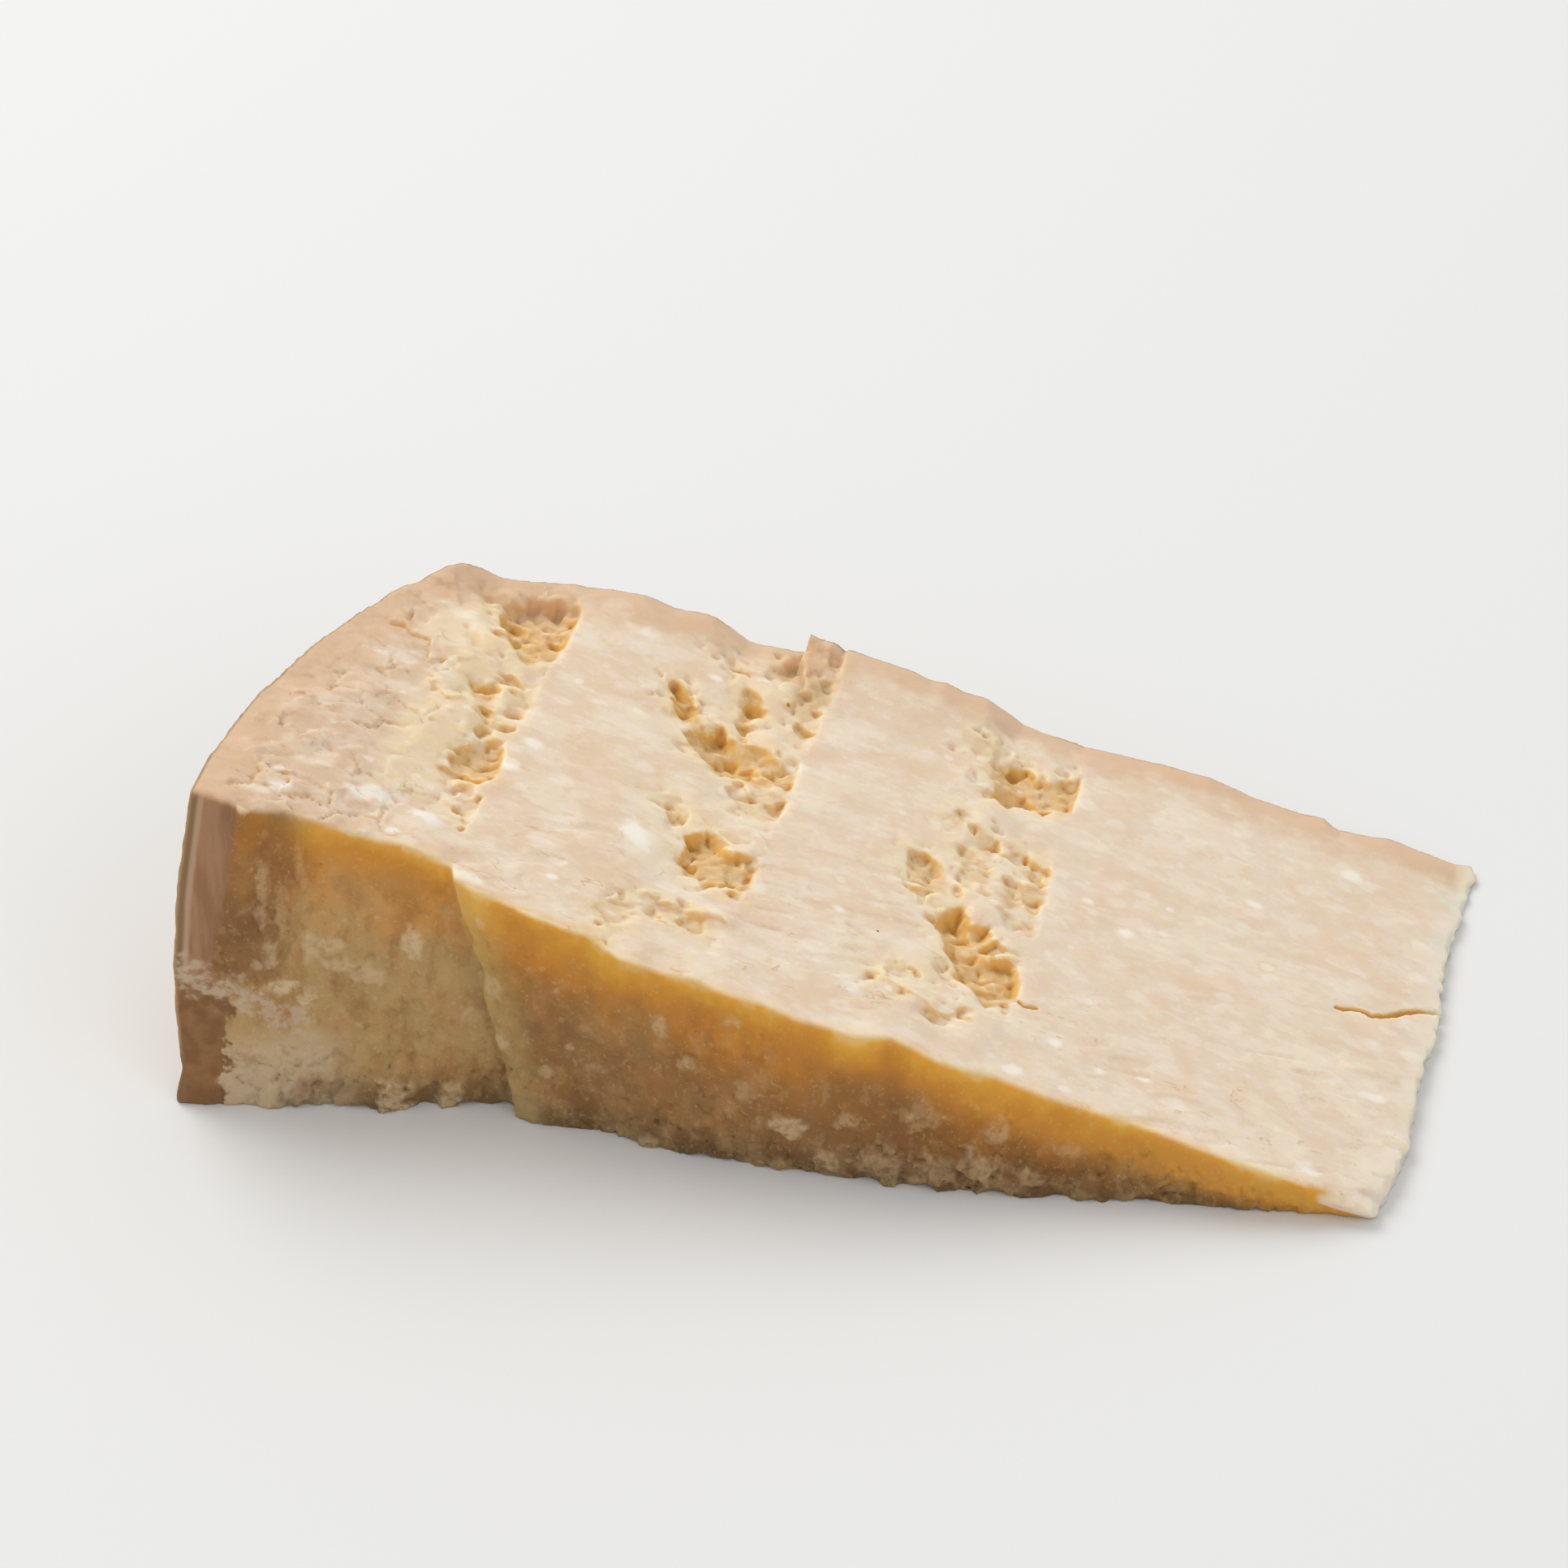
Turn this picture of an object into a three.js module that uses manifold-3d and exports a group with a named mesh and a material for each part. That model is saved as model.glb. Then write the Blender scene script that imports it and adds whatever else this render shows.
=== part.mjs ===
// A chunk of parmesan: one wedge of a cheese wheel, cut round the wheel's axis and split at its middle height.
// It lies on its lower cut face, with the upper cut face sloping down from the rind to the thin tip.
// Millimetres, +Z up. +X runs from the rind to the tip, +Y from the split front to the wheel's flat rind.
// The part's origin is the middle of its footprint, on the lower cut face. Sizes and places here are in the
// wedge's own frame, from which the mesh is moved over at the end.
import * as THREE from "three";
import { mergeGeometries, mergeVertices } from "three/addons/utils/BufferGeometryUtils.js";
import Module from "manifold-3d";

// The wheel that the wedge comes from
const WHEEL_RADIUS = 215;
const AXIS_X = 109.5; // the two cut faces would meet along Y at this X, at the height of the lower one
const RIND_CENTRE = { x: 111.2, z: 22 }; // the wheel's axis, which both cuts pass a little below
const WEDGE_ANGLE = THREE.MathUtils.degToRad(15.5);
const FRONT_Y = -49.5; // the wheel's middle height
const FLAT_RIND_Y = 51;
const SIDE_CURVE = 0.003; // how fast the wheel's side draws in, in mm for each mm2 from the middle height
const FACE_CURVE = 0.0035; // how fast the flat rind falls off towards the side
const FACE_FLAT_RADIUS = 125; // the flat rind is flat out to here

// The split front, as [x, y] along its upper edge and along its foot: a left block that is set back,
// and a right block that stands out from it along a slanting step
const LEFT_TOP = [[-105, -46], [-92, -44.4], [-86, -41.3], [-76, -40.9], [-57, -41.3]];
const LEFT_FOOT = [[-105, -53.2], [-97, -51.4], [-82, -49.4], [-70, -47.9], [-60, -45.6], [-50, -42.8], [-44, -42.5]];
const RIGHT_TOP = [
  [-58, -45.2], [-50, -46], [-43, -47.3], [-35, -47.2], [-29, -50.1], [-18, -50.3], [0, -52.7], [9, -52.4],
  [15, -50.8], [23, -52.4], [30, -50.7], [46, -50.7], [97, -53.4],
];
const RIGHT_FOOT = [
  [-50, -47.9], [-37, -47.8], [-27, -49.5], [-19, -52.3], [0, -53.6], [12, -54], [32, -53.9], [56, -51.2],
  [82, -49.9], [95, -48.8],
];
const STEP_TOP = { x: -58.5, z: 46 };
const STEP_FOOT_X = -48.5;
const STEP_WIDTH = 1.2;
const CHAMFER_WIDTH = 5; // beside the step the right block slopes over this much X,
const CHAMFER_SHARE = 0.35; // for this share of the step

// The tip, broken off just short of the wheel's axis, as [y, x]
const TIP = [[-52, 95], [-40, 96.8], [-31, 98.8], [-10, 100], [12, 101], [30, 102], [40, 102.3], [47, 104]];
const TIP_THICKNESS = 1.4;

// The upper cut face: a knife pushed in along these lines leaves a smooth strip to the right of each line,
// and a broken band before the next one. x is the line's place at y = 0.
const KNIFE_MARKS = [
  { x: -55.7, slant: 0.07 },
  { x: -11.2, slant: 0.075 },
  { x: 33.6, slant: 0.037 },
];
const BAND_WIDTH = 22;
const FAR_EDGE_LEVELS = [ // [x, height over the plane of the cut] along the flat rind's edge
  [-60, 0.3], [-42, 2], [-31, 0.8], [-25, -2.3], [-22.5, -2.6], [-15.2, -1.8], [-14.4, 2.5], [8, 2.7],
  [17.5, 2], [23.3, -1.2], [32, -1.3], [48, -0.2], [57, 0.2], [77, -0.1], [90, -0.2], [103, -1.6],
];
const LEVEL_REACH = 20; // these levels fade out over this much Y
const RAISED_CORNER = { x: -75, y: 41, radius: 9, height: 3.2 };

// The surfaces' relief: size of the lumps, and how far they stand out
const CRAG = { size: 13, height: 1.3 };
const CRUMB = { size: 5.5, height: 0.7 };
const RIND_WAVE = { size: 26, height: 0.5 };
const TIP_ROUGHNESS = 0.5; // the share of the crags' height that each surface has
const FRONT_ROUGHNESS = 0.7;
const CUT_ROUGHNESS = 0.15;
const BROKEN_ROUGHNESS = 0.75;
const ROUGH_RIND_END = [-95, -60]; // the upper face is broken up to the first X and smooth from the second

// Pits torn out of the upper cut face: centre, half length, half width, depth, turn of the length in degrees
const PITS = [
  { x: -58.3, y: 31, rx: 9.2, ry: 5.8, depth: 5, turn: 86 },
  { x: -62.7, y: 7, rx: 6.2, ry: 2.6, depth: 2.4, turn: -87 },
  { x: -57.1, y: 8.4, rx: 3.5, ry: 1.8, depth: 1.6, turn: -86 },
  { x: -59.9, y: -8.5, rx: 7.2, ry: 3.6, depth: 3.6, turn: 71 },
  { x: -60.2, y: -15, rx: 3.6, ry: 3, depth: 3, turn: 52 },
  { x: -59.7, y: -25, rx: 4.6, ry: 1.8, depth: 2, turn: -77 },
  { x: -31.3, y: 24, rx: 4.4, ry: 2, depth: 4.5, turn: -59 },
  { x: -26.3, y: 16, rx: 4.2, ry: 3.4, depth: 5, turn: 66 },
  { x: -21.7, y: 28, rx: 4.9, ry: 1.6, depth: 3.5, turn: 90 },
  { x: -26, y: 39.5, rx: 2.4, ry: 1.6, depth: 2, turn: -33 },
  { x: -18.3, y: 13.8, rx: 8, ry: 5, depth: 4.6, turn: -30 },
  { x: -14.4, y: 1.8, rx: 4.1, ry: 2.4, depth: 2, turn: 30 },
  { x: -28.2, y: -6.5, rx: 1.9, ry: 1.3, depth: 1.6, turn: -59 },
  { x: -18.6, y: -17, rx: 7.2, ry: 5.2, depth: 4.4, turn: -48 },
  { x: -12.6, y: 38, rx: 6.5, ry: 4, depth: 2.8, turn: -87 },
  { x: 28.4, y: 31.4, rx: 8.2, ry: 5.1, depth: 4.2, turn: 12 },
  { x: 17.3, y: 14.9, rx: 2.3, ry: 1.5, depth: 1.6, turn: 77 },
  { x: 22.8, y: 12.2, rx: 2.3, ry: 1.9, depth: 1.8, turn: -35 },
  { x: 21.3, y: 4.3, rx: 5.4, ry: 2, depth: 2.2, turn: -81 },
  { x: 30.2, y: 9.1, rx: 2.7, ry: 1.8, depth: 2.2, turn: -17 },
  { x: 30.4, y: 0.7, rx: 4, ry: 2.4, depth: 3, turn: 57 },
  { x: 14.2, y: -2.1, rx: 3.8, ry: 2, depth: 3.2, turn: -53 },
  { x: 31.2, y: -5.4, rx: 2.5, ry: 1.5, depth: 2, turn: 86 },
  { x: 22.7, y: -16.5, rx: 5.3, ry: 3.9, depth: 5.6, turn: -57 },
  { x: 27.6, y: -25, rx: 6, ry: 5, depth: 6.2, turn: -60 },
  { x: 13.8, y: -32.9, rx: 2.9, ry: 1.9, depth: 1.6, turn: 41 },
  { x: 24, y: -37, rx: 3.4, ry: 1.6, depth: 1.4, turn: -3 },
];
const SMALL_PIT = 3.5; // a pit of at most this half length is made with fewer sides
const ROCK_LUMPS = 0.3; // how far the pits' walls and the crumbs stray from a ball, for a radius of 1
const PIT_MOUTH = 0.35; // a pit's centre stands this share of its depth over the surface: its walls lean out
const MOUTH_SPREAD = 1.1; // how much wider a pit is at its centre than where it meets the surface
const CUTTER_SIZE = 60; // of what cuts a pit off at a knife mark, more than any pit

// Crumbs left standing in the pits: centre, half length, half width, height of the middle over the cut, turn
const CRUMBS = [
  { x: -25.8, y: 25.4, rx: 6.2, ry: 2.9, lift: -2.2, turn: 85 },
  { x: -30, y: 31, rx: 3.4, ry: 2.6, lift: -2.4, turn: 20 },
  { x: 26.4, y: -10.4, rx: 7.8, ry: 4, lift: -2.6, turn: -60 },
  { x: 30.4, y: 13.9, rx: 3.2, ry: 2.3, lift: -1, turn: -82 },
];

// Lumps torn from the edges: centre and radius
const EDGE_CHIPS = [
  { x: 12, y: -56, z: 0, radius: 3 },
  { x: 86, y: -55, z: 4.5, radius: 2.6 },
];

// Cracks in the upper cut face, each a thin blade along a crooked line
const CRACK_WIDTH = 0.7;
const CRACK_END = 0.2; // its width at both ends, as a share
const CRACK_FLOOR = 1; // no crack comes nearer to the lower cut face
const CRACKS = [
  { depth: 1.8, line: [[82.5, -3.4], [87, -0.9], [92, -1.6], [97, 3.6], [108, 5.2]] },
  { depth: 2, line: [[-86, 17.5], [-79.5, 19.3], [-75, 14.5], [-73, 11]] },
  { depth: 1.6, line: [[-28, -31], [-25, -35], [-20, -37], [-15, -37.4]] },
  { depth: 2, line: [[-70.5, 23.5], [-68, 20], [-65, 17.2], [-61, 18]] },
];

// How finely the wedge's faces are divided along X, Y and Z
const DIVISIONS = [60, 30, 8];

// The middle of the finished footprint, which becomes the origin
const FOOTPRINT_MIDDLE = { x: -0.1, y: -1.6 };

const { lerp, clamp, smoothstep } = THREE.MathUtils;

// Repeatable random number from 0 to 1 for one corner of the noise lattice.
function latticeValue(i, j, k, seed) {
  const factors = [374761393, 668265263, 1103515245, 974634777]; // large odd numbers, to mix the bits
  let h = [i, j, k, seed].reduce((sum, value, n) => sum + Math.imul(value, factors[n]), 0);
  h = Math.imul(h ^ (h >>> 13), 1274126177);
  return ((h ^ (h >>> 16)) >>> 0) / 4294967295;
}

// Smooth value noise from -1 to 1.
function noise(x, y, z, seed) {
  const corner = [x, y, z].map(Math.floor);
  const [fx, fy, fz] = [x, y, z].map((value, axis) => {
    const f = value - corner[axis];
    return f * f * (3 - 2 * f);
  });
  const at = (di, dj, dk) => latticeValue(corner[0] + di, corner[1] + dj, corner[2] + dk, seed);
  const alongX = (dj, dk) => lerp(at(0, dj, dk), at(1, dj, dk), fx);
  const alongY = (dk) => lerp(alongX(0, dk), alongX(1, dk), fy);
  return 2 * lerp(alongY(0), alongY(1), fz) - 1;
}

function relief({ size, height }, x, y, z, seed) {
  return height * noise(x / size, y / size, z / size, seed);
}

function crags(x, y, z, seed) {
  return relief(CRAG, x, y, z, seed) + relief(CRUMB, x, y, z, seed + 1);
}

// The value at x of a line through [x, value] points.
function along(points, x) {
  const next = points.findIndex(([at]) => at > x);
  if (next <= 0) return points.at(next)[1];
  const [[x0, value0], [x1, value1]] = points.slice(next - 1, next + 1);
  return lerp(value0, value1, (x - x0) / (x1 - x0));
}

// The wheel's side at this Y and height.
function rindX(y, z) {
  const radius = WHEEL_RADIUS - SIDE_CURVE * (y - FRONT_Y) ** 2 + relief(RIND_WAVE, 0, y, z, 11);
  return RIND_CENTRE.x - Math.sqrt(radius * radius - (z - RIND_CENTRE.z) ** 2);
}

function tipX(y, z) {
  return along(TIP, y) + TIP_ROUGHNESS * crags(0, y, z, 21);
}

// The wheel's flat face, which is out of sight behind the cut faces.
function backY(x, z) {
  const beyondFlat = Math.max(0, AXIS_X - x - FACE_FLAT_RADIUS);
  return FLAT_RIND_Y - FACE_CURVE * beyondFlat ** 2 + relief(RIND_WAVE, x, 0, z, 31);
}

function frontY(x, z) {
  const rise = clamp(z / cutPlaneZ(x), 0, 1);
  const left = lerp(along(LEFT_FOOT, x), along(LEFT_TOP, x), rise);
  const right = lerp(along(RIGHT_FOOT, x), along(RIGHT_TOP, x), rise);
  const stepX = lerp(STEP_FOOT_X, STEP_TOP.x, z / STEP_TOP.z);
  const step = lerp(
    smoothstep(x, stepX, stepX + STEP_WIDTH),
    smoothstep(x, stepX, stepX + CHAMFER_WIDTH),
    CHAMFER_SHARE,
  );
  return lerp(left, right, step) + FRONT_ROUGHNESS * crags(x, 0, z, 41);
}

function cutPlaneZ(x) {
  return Math.tan(WEDGE_ANGLE) * (AXIS_X - x);
}

// How far a point lies short of a knife mark, measured along X.
function shortOf({ x: place, slant }, x, y) {
  return place + slant * y - x;
}

// 1 in a broken band, just short of a knife mark, and 0 on a smooth strip.
function broken(x, y) {
  const width = BAND_WIDTH * (1 + 0.3 * noise(0, y / 9, 0, 51));
  const distances = KNIFE_MARKS.map((mark) => shortOf(mark, x, y)).filter((distance) => distance > 0);
  return distances.length ? 1 - smoothstep(Math.min(...distances), 0.6 * width, width) : 0;
}

function topZ(x, y) {
  const level = along(FAR_EDGE_LEVELS, x) * smoothstep(y, FLAT_RIND_Y - LEVEL_REACH, FLAT_RIND_Y);
  const fromCorner = Math.hypot(x - RAISED_CORNER.x, y - RAISED_CORNER.y) / RAISED_CORNER.radius;
  const corner = RAISED_CORNER.height * (1 - smoothstep(fromCorner, 0, 1));
  const nearRind = 1 - smoothstep(x, ...ROUGH_RIND_END);
  const roughness = lerp(CUT_ROUGHNESS, BROKEN_ROUGHNESS, Math.max(broken(x, y), nearRind));
  return Math.max(cutPlaneZ(x) + level + corner + roughness * crags(x, y, 0, 61), TIP_THICKNESS);
}

// Where a point of a box from 0 to 1 each way lies in the wedge.
function wedgePoint(u, v, w) {
  let x = lerp(AXIS_X - WHEEL_RADIUS, AXIS_X, u);
  let y = lerp(FRONT_Y, FLAT_RIND_Y, v);
  let z = 0;
  // The outlines depend on each other, so they are settled by repetition.
  for (let round = 0; round < 8; round++) {
    z = w * topZ(x, y);
    x = lerp(rindX(y, z), tipX(y, z), u);
    y = lerp(frontY(x, z), backY(x, z), v);
  }
  return [x, y, z];
}

// Leaves only the places of the corners, so that corners at the same place can be merged.
function bare(geometry) {
  geometry.deleteAttribute("normal");
  geometry.deleteAttribute("uv");
  return geometry;
}

function solidFrom(geometry, wasm) {
  const merged = mergeVertices(bare(geometry), 1e-4);
  return new wasm.Manifold(
    new wasm.Mesh({
      numProp: 3,
      vertProperties: merged.attributes.position.array,
      triVerts: new Uint32Array(merged.index.array),
    }),
  );
}

function geometryFrom(solid) {
  const { vertProperties, triVerts } = solid.getMesh();
  const geometry = new THREE.BufferGeometry();
  geometry.setAttribute("position", new THREE.BufferAttribute(vertProperties, 3));
  geometry.setIndex(new THREE.BufferAttribute(triVerts, 1));
  geometry.computeVertexNormals();
  return geometry;
}

// The upper cut face and the four sides, as a box bent to the wedge's form.
function upperGeometry() {
  const geometry = new THREE.BoxGeometry(1, 1, 1, ...DIVISIONS);
  const underside = geometry.groups.at(-1);
  geometry.setIndex([...geometry.index.array].slice(0, underside.start));
  geometry.clearGroups();
  const position = geometry.attributes.position;
  for (let i = 0; i < position.count; i++) {
    // Whole steps, so that the corners along the foot are exactly those of the lower cut face.
    const steps = DIVISIONS.map((count, axis) => Math.round((position.getComponent(i, axis) + 0.5) * count));
    position.setXYZ(i, ...wedgePoint(...steps.map((step, axis) => step / DIVISIONS[axis])));
  }
  return geometry;
}

// The flat lower cut face, inside the outline that the sides stand on.
function lowerGeometry() {
  const [alongX, alongY] = DIVISIONS;
  const front = Array.from({ length: alongX }, (_, i) => [i / alongX, 0]);
  const tip = Array.from({ length: alongY }, (_, i) => [1, i / alongY]);
  const back = front.map((_, i) => [(alongX - i) / alongX, 1]);
  const rind = tip.map((_, i) => [0, (alongY - i) / alongY]);
  const places = [...front, ...tip, ...back, ...rind].map(([u, v]) => wedgePoint(u, v, 0));
  const outline = places.map((place) => new THREE.Vector3(...place));
  const facingDown = THREE.ShapeUtils.triangulateShape(outline, []).flatMap(([a, b, c]) => [a, c, b]);
  return new THREE.BufferGeometry().setFromPoints(outline).setIndex(facingDown);
}

function wedgeGeometry() {
  return mergeGeometries([bare(upperGeometry()), lowerGeometry()]);
}

// A rough ball of radius 1, with lumps that differ from seed to seed.
function rockGeometry(seed, detail) {
  const geometry = new THREE.IcosahedronGeometry(1, detail);
  const position = geometry.attributes.position;
  const point = new THREE.Vector3();
  for (let i = 0; i < position.count; i++) {
    point.fromBufferAttribute(position, i);
    point.multiplyScalar(1 + ROCK_LUMPS * noise(point.x * 1.7, point.y * 1.7, point.z * 1.7, seed));
    position.setXYZ(i, point.x, point.y, point.z);
  }
  return geometry;
}

// The pit is cut off at the knife mark beside it, which left a straight edge.
function pitSolid(pit, seed, wasm) {
  const lift = PIT_MOUTH * pit.depth;
  const centre = new THREE.Vector3(pit.x, pit.y, topZ(pit.x, pit.y) + lift);
  const rock = rockGeometry(seed, pit.rx > SMALL_PIT ? 2 : 1)
    .scale(pit.rx * MOUTH_SPREAD, pit.ry * MOUTH_SPREAD, pit.depth + lift)
    .rotateZ(THREE.MathUtils.degToRad(pit.turn))
    .rotateY(WEDGE_ANGLE)
    .translate(...centre);
  const mark = KNIFE_MARKS.find((nearby) => shortOf(nearby, pit.x, pit.y) > 0);
  const shortOfMark = new THREE.BoxGeometry(CUTTER_SIZE, CUTTER_SIZE, CUTTER_SIZE)
    .translate(-CUTTER_SIZE / 2, 0, 0)
    .rotateZ(-Math.atan(mark.slant))
    .translate(pit.x + shortOf(mark, pit.x, pit.y), pit.y, centre.z);
  return solidFrom(rock, wasm).intersect(solidFrom(shortOfMark, wasm));
}

function crumbSolid({ x, y, rx, ry, lift, turn }, seed, wasm) {
  const rock = rockGeometry(seed, 1)
    .scale(rx, ry, ry)
    .rotateZ(THREE.MathUtils.degToRad(turn))
    .rotateY(WEDGE_ANGLE)
    .translate(x, y, topZ(x, y) + lift);
  return solidFrom(rock, wasm);
}

function chipSolid({ x, y, z, radius }, seed, wasm) {
  return solidFrom(rockGeometry(seed, 1).scale(radius * 1.5, radius, radius).translate(x, y, z), wasm);
}

function crackSolid({ depth, line }, wasm) {
  const points = line.map(([x, y]) => new THREE.Vector2(x, y));
  const near = points.map((point, i) => {
    const share = i === 0 || i === points.length - 1 ? CRACK_END : 1;
    return new THREE.Vector2(point.x, point.y + 0.5 * CRACK_WIDTH * share);
  });
  const far = points.map((point, i) => new THREE.Vector2(point.x, 2 * point.y - near[i].y)).reverse();
  const outline = new THREE.Shape([...near, ...far]);
  const blade = new THREE.ExtrudeGeometry(outline, { depth: CUTTER_SIZE, bevelEnabled: false });
  const position = blade.attributes.position;
  for (let i = 0; i < position.count; i++) {
    position.setZ(i, position.getZ(i) + Math.max(cutPlaneZ(position.getX(i)) - depth, CRACK_FLOOR));
  }
  return solidFrom(blade, wasm);
}

const wasm = await Module();
wasm.setup();

let chunk = solidFrom(wedgeGeometry(), wasm);
PITS.forEach((pit, i) => {
  chunk = chunk.subtract(pitSolid(pit, 100 + i, wasm));
});
CRUMBS.forEach((crumb, i) => {
  chunk = chunk.add(crumbSolid(crumb, 200 + i, wasm));
});
EDGE_CHIPS.forEach((chip, i) => {
  chunk = chunk.subtract(chipSolid(chip, 300 + i, wasm));
});
CRACKS.forEach((crack) => {
  chunk = chunk.subtract(crackSolid(crack, wasm));
});

const cheese = new THREE.MeshStandardMaterial({ color: 0xe3cda6, roughness: 0.6, metalness: 0 });
const mesh = new THREE.Mesh(geometryFrom(chunk), cheese);
mesh.name = "parmesan_chunk";
mesh.position.set(-FOOTPRINT_MIDDLE.x, -FOOTPRINT_MIDDLE.y, 0);

const part = new THREE.Group();
part.add(mesh);

export default part;
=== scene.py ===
"""A chunk of hard aged cheese, dressed on the CAD frame.

The CAD solid's faces come back here as height maps with finer relief on top. Together with the pits they
fill a grid with one field, whose surface becomes the mesh. Marks on the mesh's corners, such as how far they
lie from the rind or in a pit, then steer the colours of one material.
"""
import math

import bpy
import numpy as np
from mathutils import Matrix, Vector


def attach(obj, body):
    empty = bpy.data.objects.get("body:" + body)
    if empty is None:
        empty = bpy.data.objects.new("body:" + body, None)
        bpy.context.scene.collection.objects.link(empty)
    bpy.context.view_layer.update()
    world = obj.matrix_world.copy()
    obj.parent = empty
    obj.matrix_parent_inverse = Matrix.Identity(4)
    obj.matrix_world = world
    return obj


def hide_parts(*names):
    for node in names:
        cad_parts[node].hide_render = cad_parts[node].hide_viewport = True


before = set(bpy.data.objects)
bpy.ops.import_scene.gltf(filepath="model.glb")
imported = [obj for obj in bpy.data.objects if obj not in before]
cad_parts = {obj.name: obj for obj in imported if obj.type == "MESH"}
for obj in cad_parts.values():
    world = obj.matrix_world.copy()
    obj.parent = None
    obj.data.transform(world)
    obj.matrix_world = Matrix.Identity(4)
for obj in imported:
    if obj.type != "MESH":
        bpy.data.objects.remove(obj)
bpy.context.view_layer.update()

# Lengths are in millimetres, in the wedge's own frame, until the mesh is made.
MM = 0.001
FOOTPRINT_MIDDLE = (-0.1, -1.6)

# The wheel that the wedge is a sector of, as in the CAD solid.
WHEEL_RADIUS = 215
AXIS_X = 109.5
RIND_CENTRE = (111.2, 22.0)
WEDGE_SLOPE = math.tan(math.radians(15.5))
FRONT_Y = -49.5
FLAT_RIND_Y = 51
SIDE_CURVE = 0.003
FACE_CURVE = 0.0035
FACE_FLAT_RADIUS = 125
LEFT_TOP = [(-105, -46), (-92, -44.4), (-86, -41.3), (-76, -40.9), (-57, -41.3)]
LEFT_FOOT = [(-105, -53.2), (-97, -51.4), (-82, -49.4), (-70, -47.9), (-60, -45.6), (-50, -42.8),
             (-44, -42.5)]
RIGHT_TOP = [(-58, -45.2), (-50, -46), (-43, -47.3), (-35, -47.2), (-29, -50.1), (-18, -50.3), (0, -52.7),
             (9, -52.4), (15, -50.8), (23, -52.4), (30, -50.7), (46, -50.7), (97, -53.4)]
RIGHT_FOOT = [(-50, -47.9), (-37, -47.8), (-27, -49.5), (-19, -52.3), (0, -53.6), (12, -54), (32, -53.9),
              (56, -51.2), (82, -49.9), (95, -48.8)]
STEP_TOP = (-58.5, 46)
STEP_FOOT_X = -48.5
STEP_WIDTH = 1.2
CHAMFER_WIDTH = 5
CHAMFER_SHARE = 0.35
TIP = [(-52, 95), (-40, 96.8), (-31, 98.8), (-10, 100), (12, 101), (30, 102), (40, 102.3), (47, 104)]
TIP_THICKNESS = 1.4
KNIFE_MARKS = [(-55.7, 0.07), (-11.2, 0.075), (33.6, 0.037)]
BAND_WIDTH = 22
FAR_EDGE_LEVELS = [(-60, 0.3), (-42, 2), (-31, 0.8), (-25, -2.3), (-22.5, -2.6), (-15.2, -1.8),
                   (-14.4, 2.5), (8, 2.7), (17.5, 2), (23.3, -1.2), (32, -1.3), (48, -0.2), (57, 0.2),
                   (77, -0.1), (90, -0.2), (103, -1.6)]
LEVEL_REACH = 20
RAISED_CORNER = (-75, 41, 9, 3.2)
CRAG = (13, 1.3)
CRUMB = (5.5, 0.7)
RIND_WAVE = (26, 0.5)
TIP_ROUGHNESS = 0.5
FRONT_ROUGHNESS = 0.7
CUT_ROUGHNESS = 0.15
BROKEN_ROUGHNESS = 0.75
ROUGH_RIND_END = (-95, -60)

# Small nicks in the flat rind's edge: x and height over that edge, and how far they reach inwards.
EDGE_NICKS = [(-43, 0), (-38, -1), (-33, 0), (4, 0), (7, -0.7), (9.5, 0), (13, -0.5), (17, 0), (33, 0),
              (34.2, -0.5), (40, 0), (57, 0.3), (65, -0.6), (73, -0.5), (77, 0.2), (79.8, -1.3), (84, -0.6),
              (88.5, 0.1), (101, 0)]
NICK_REACH = 7

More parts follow.
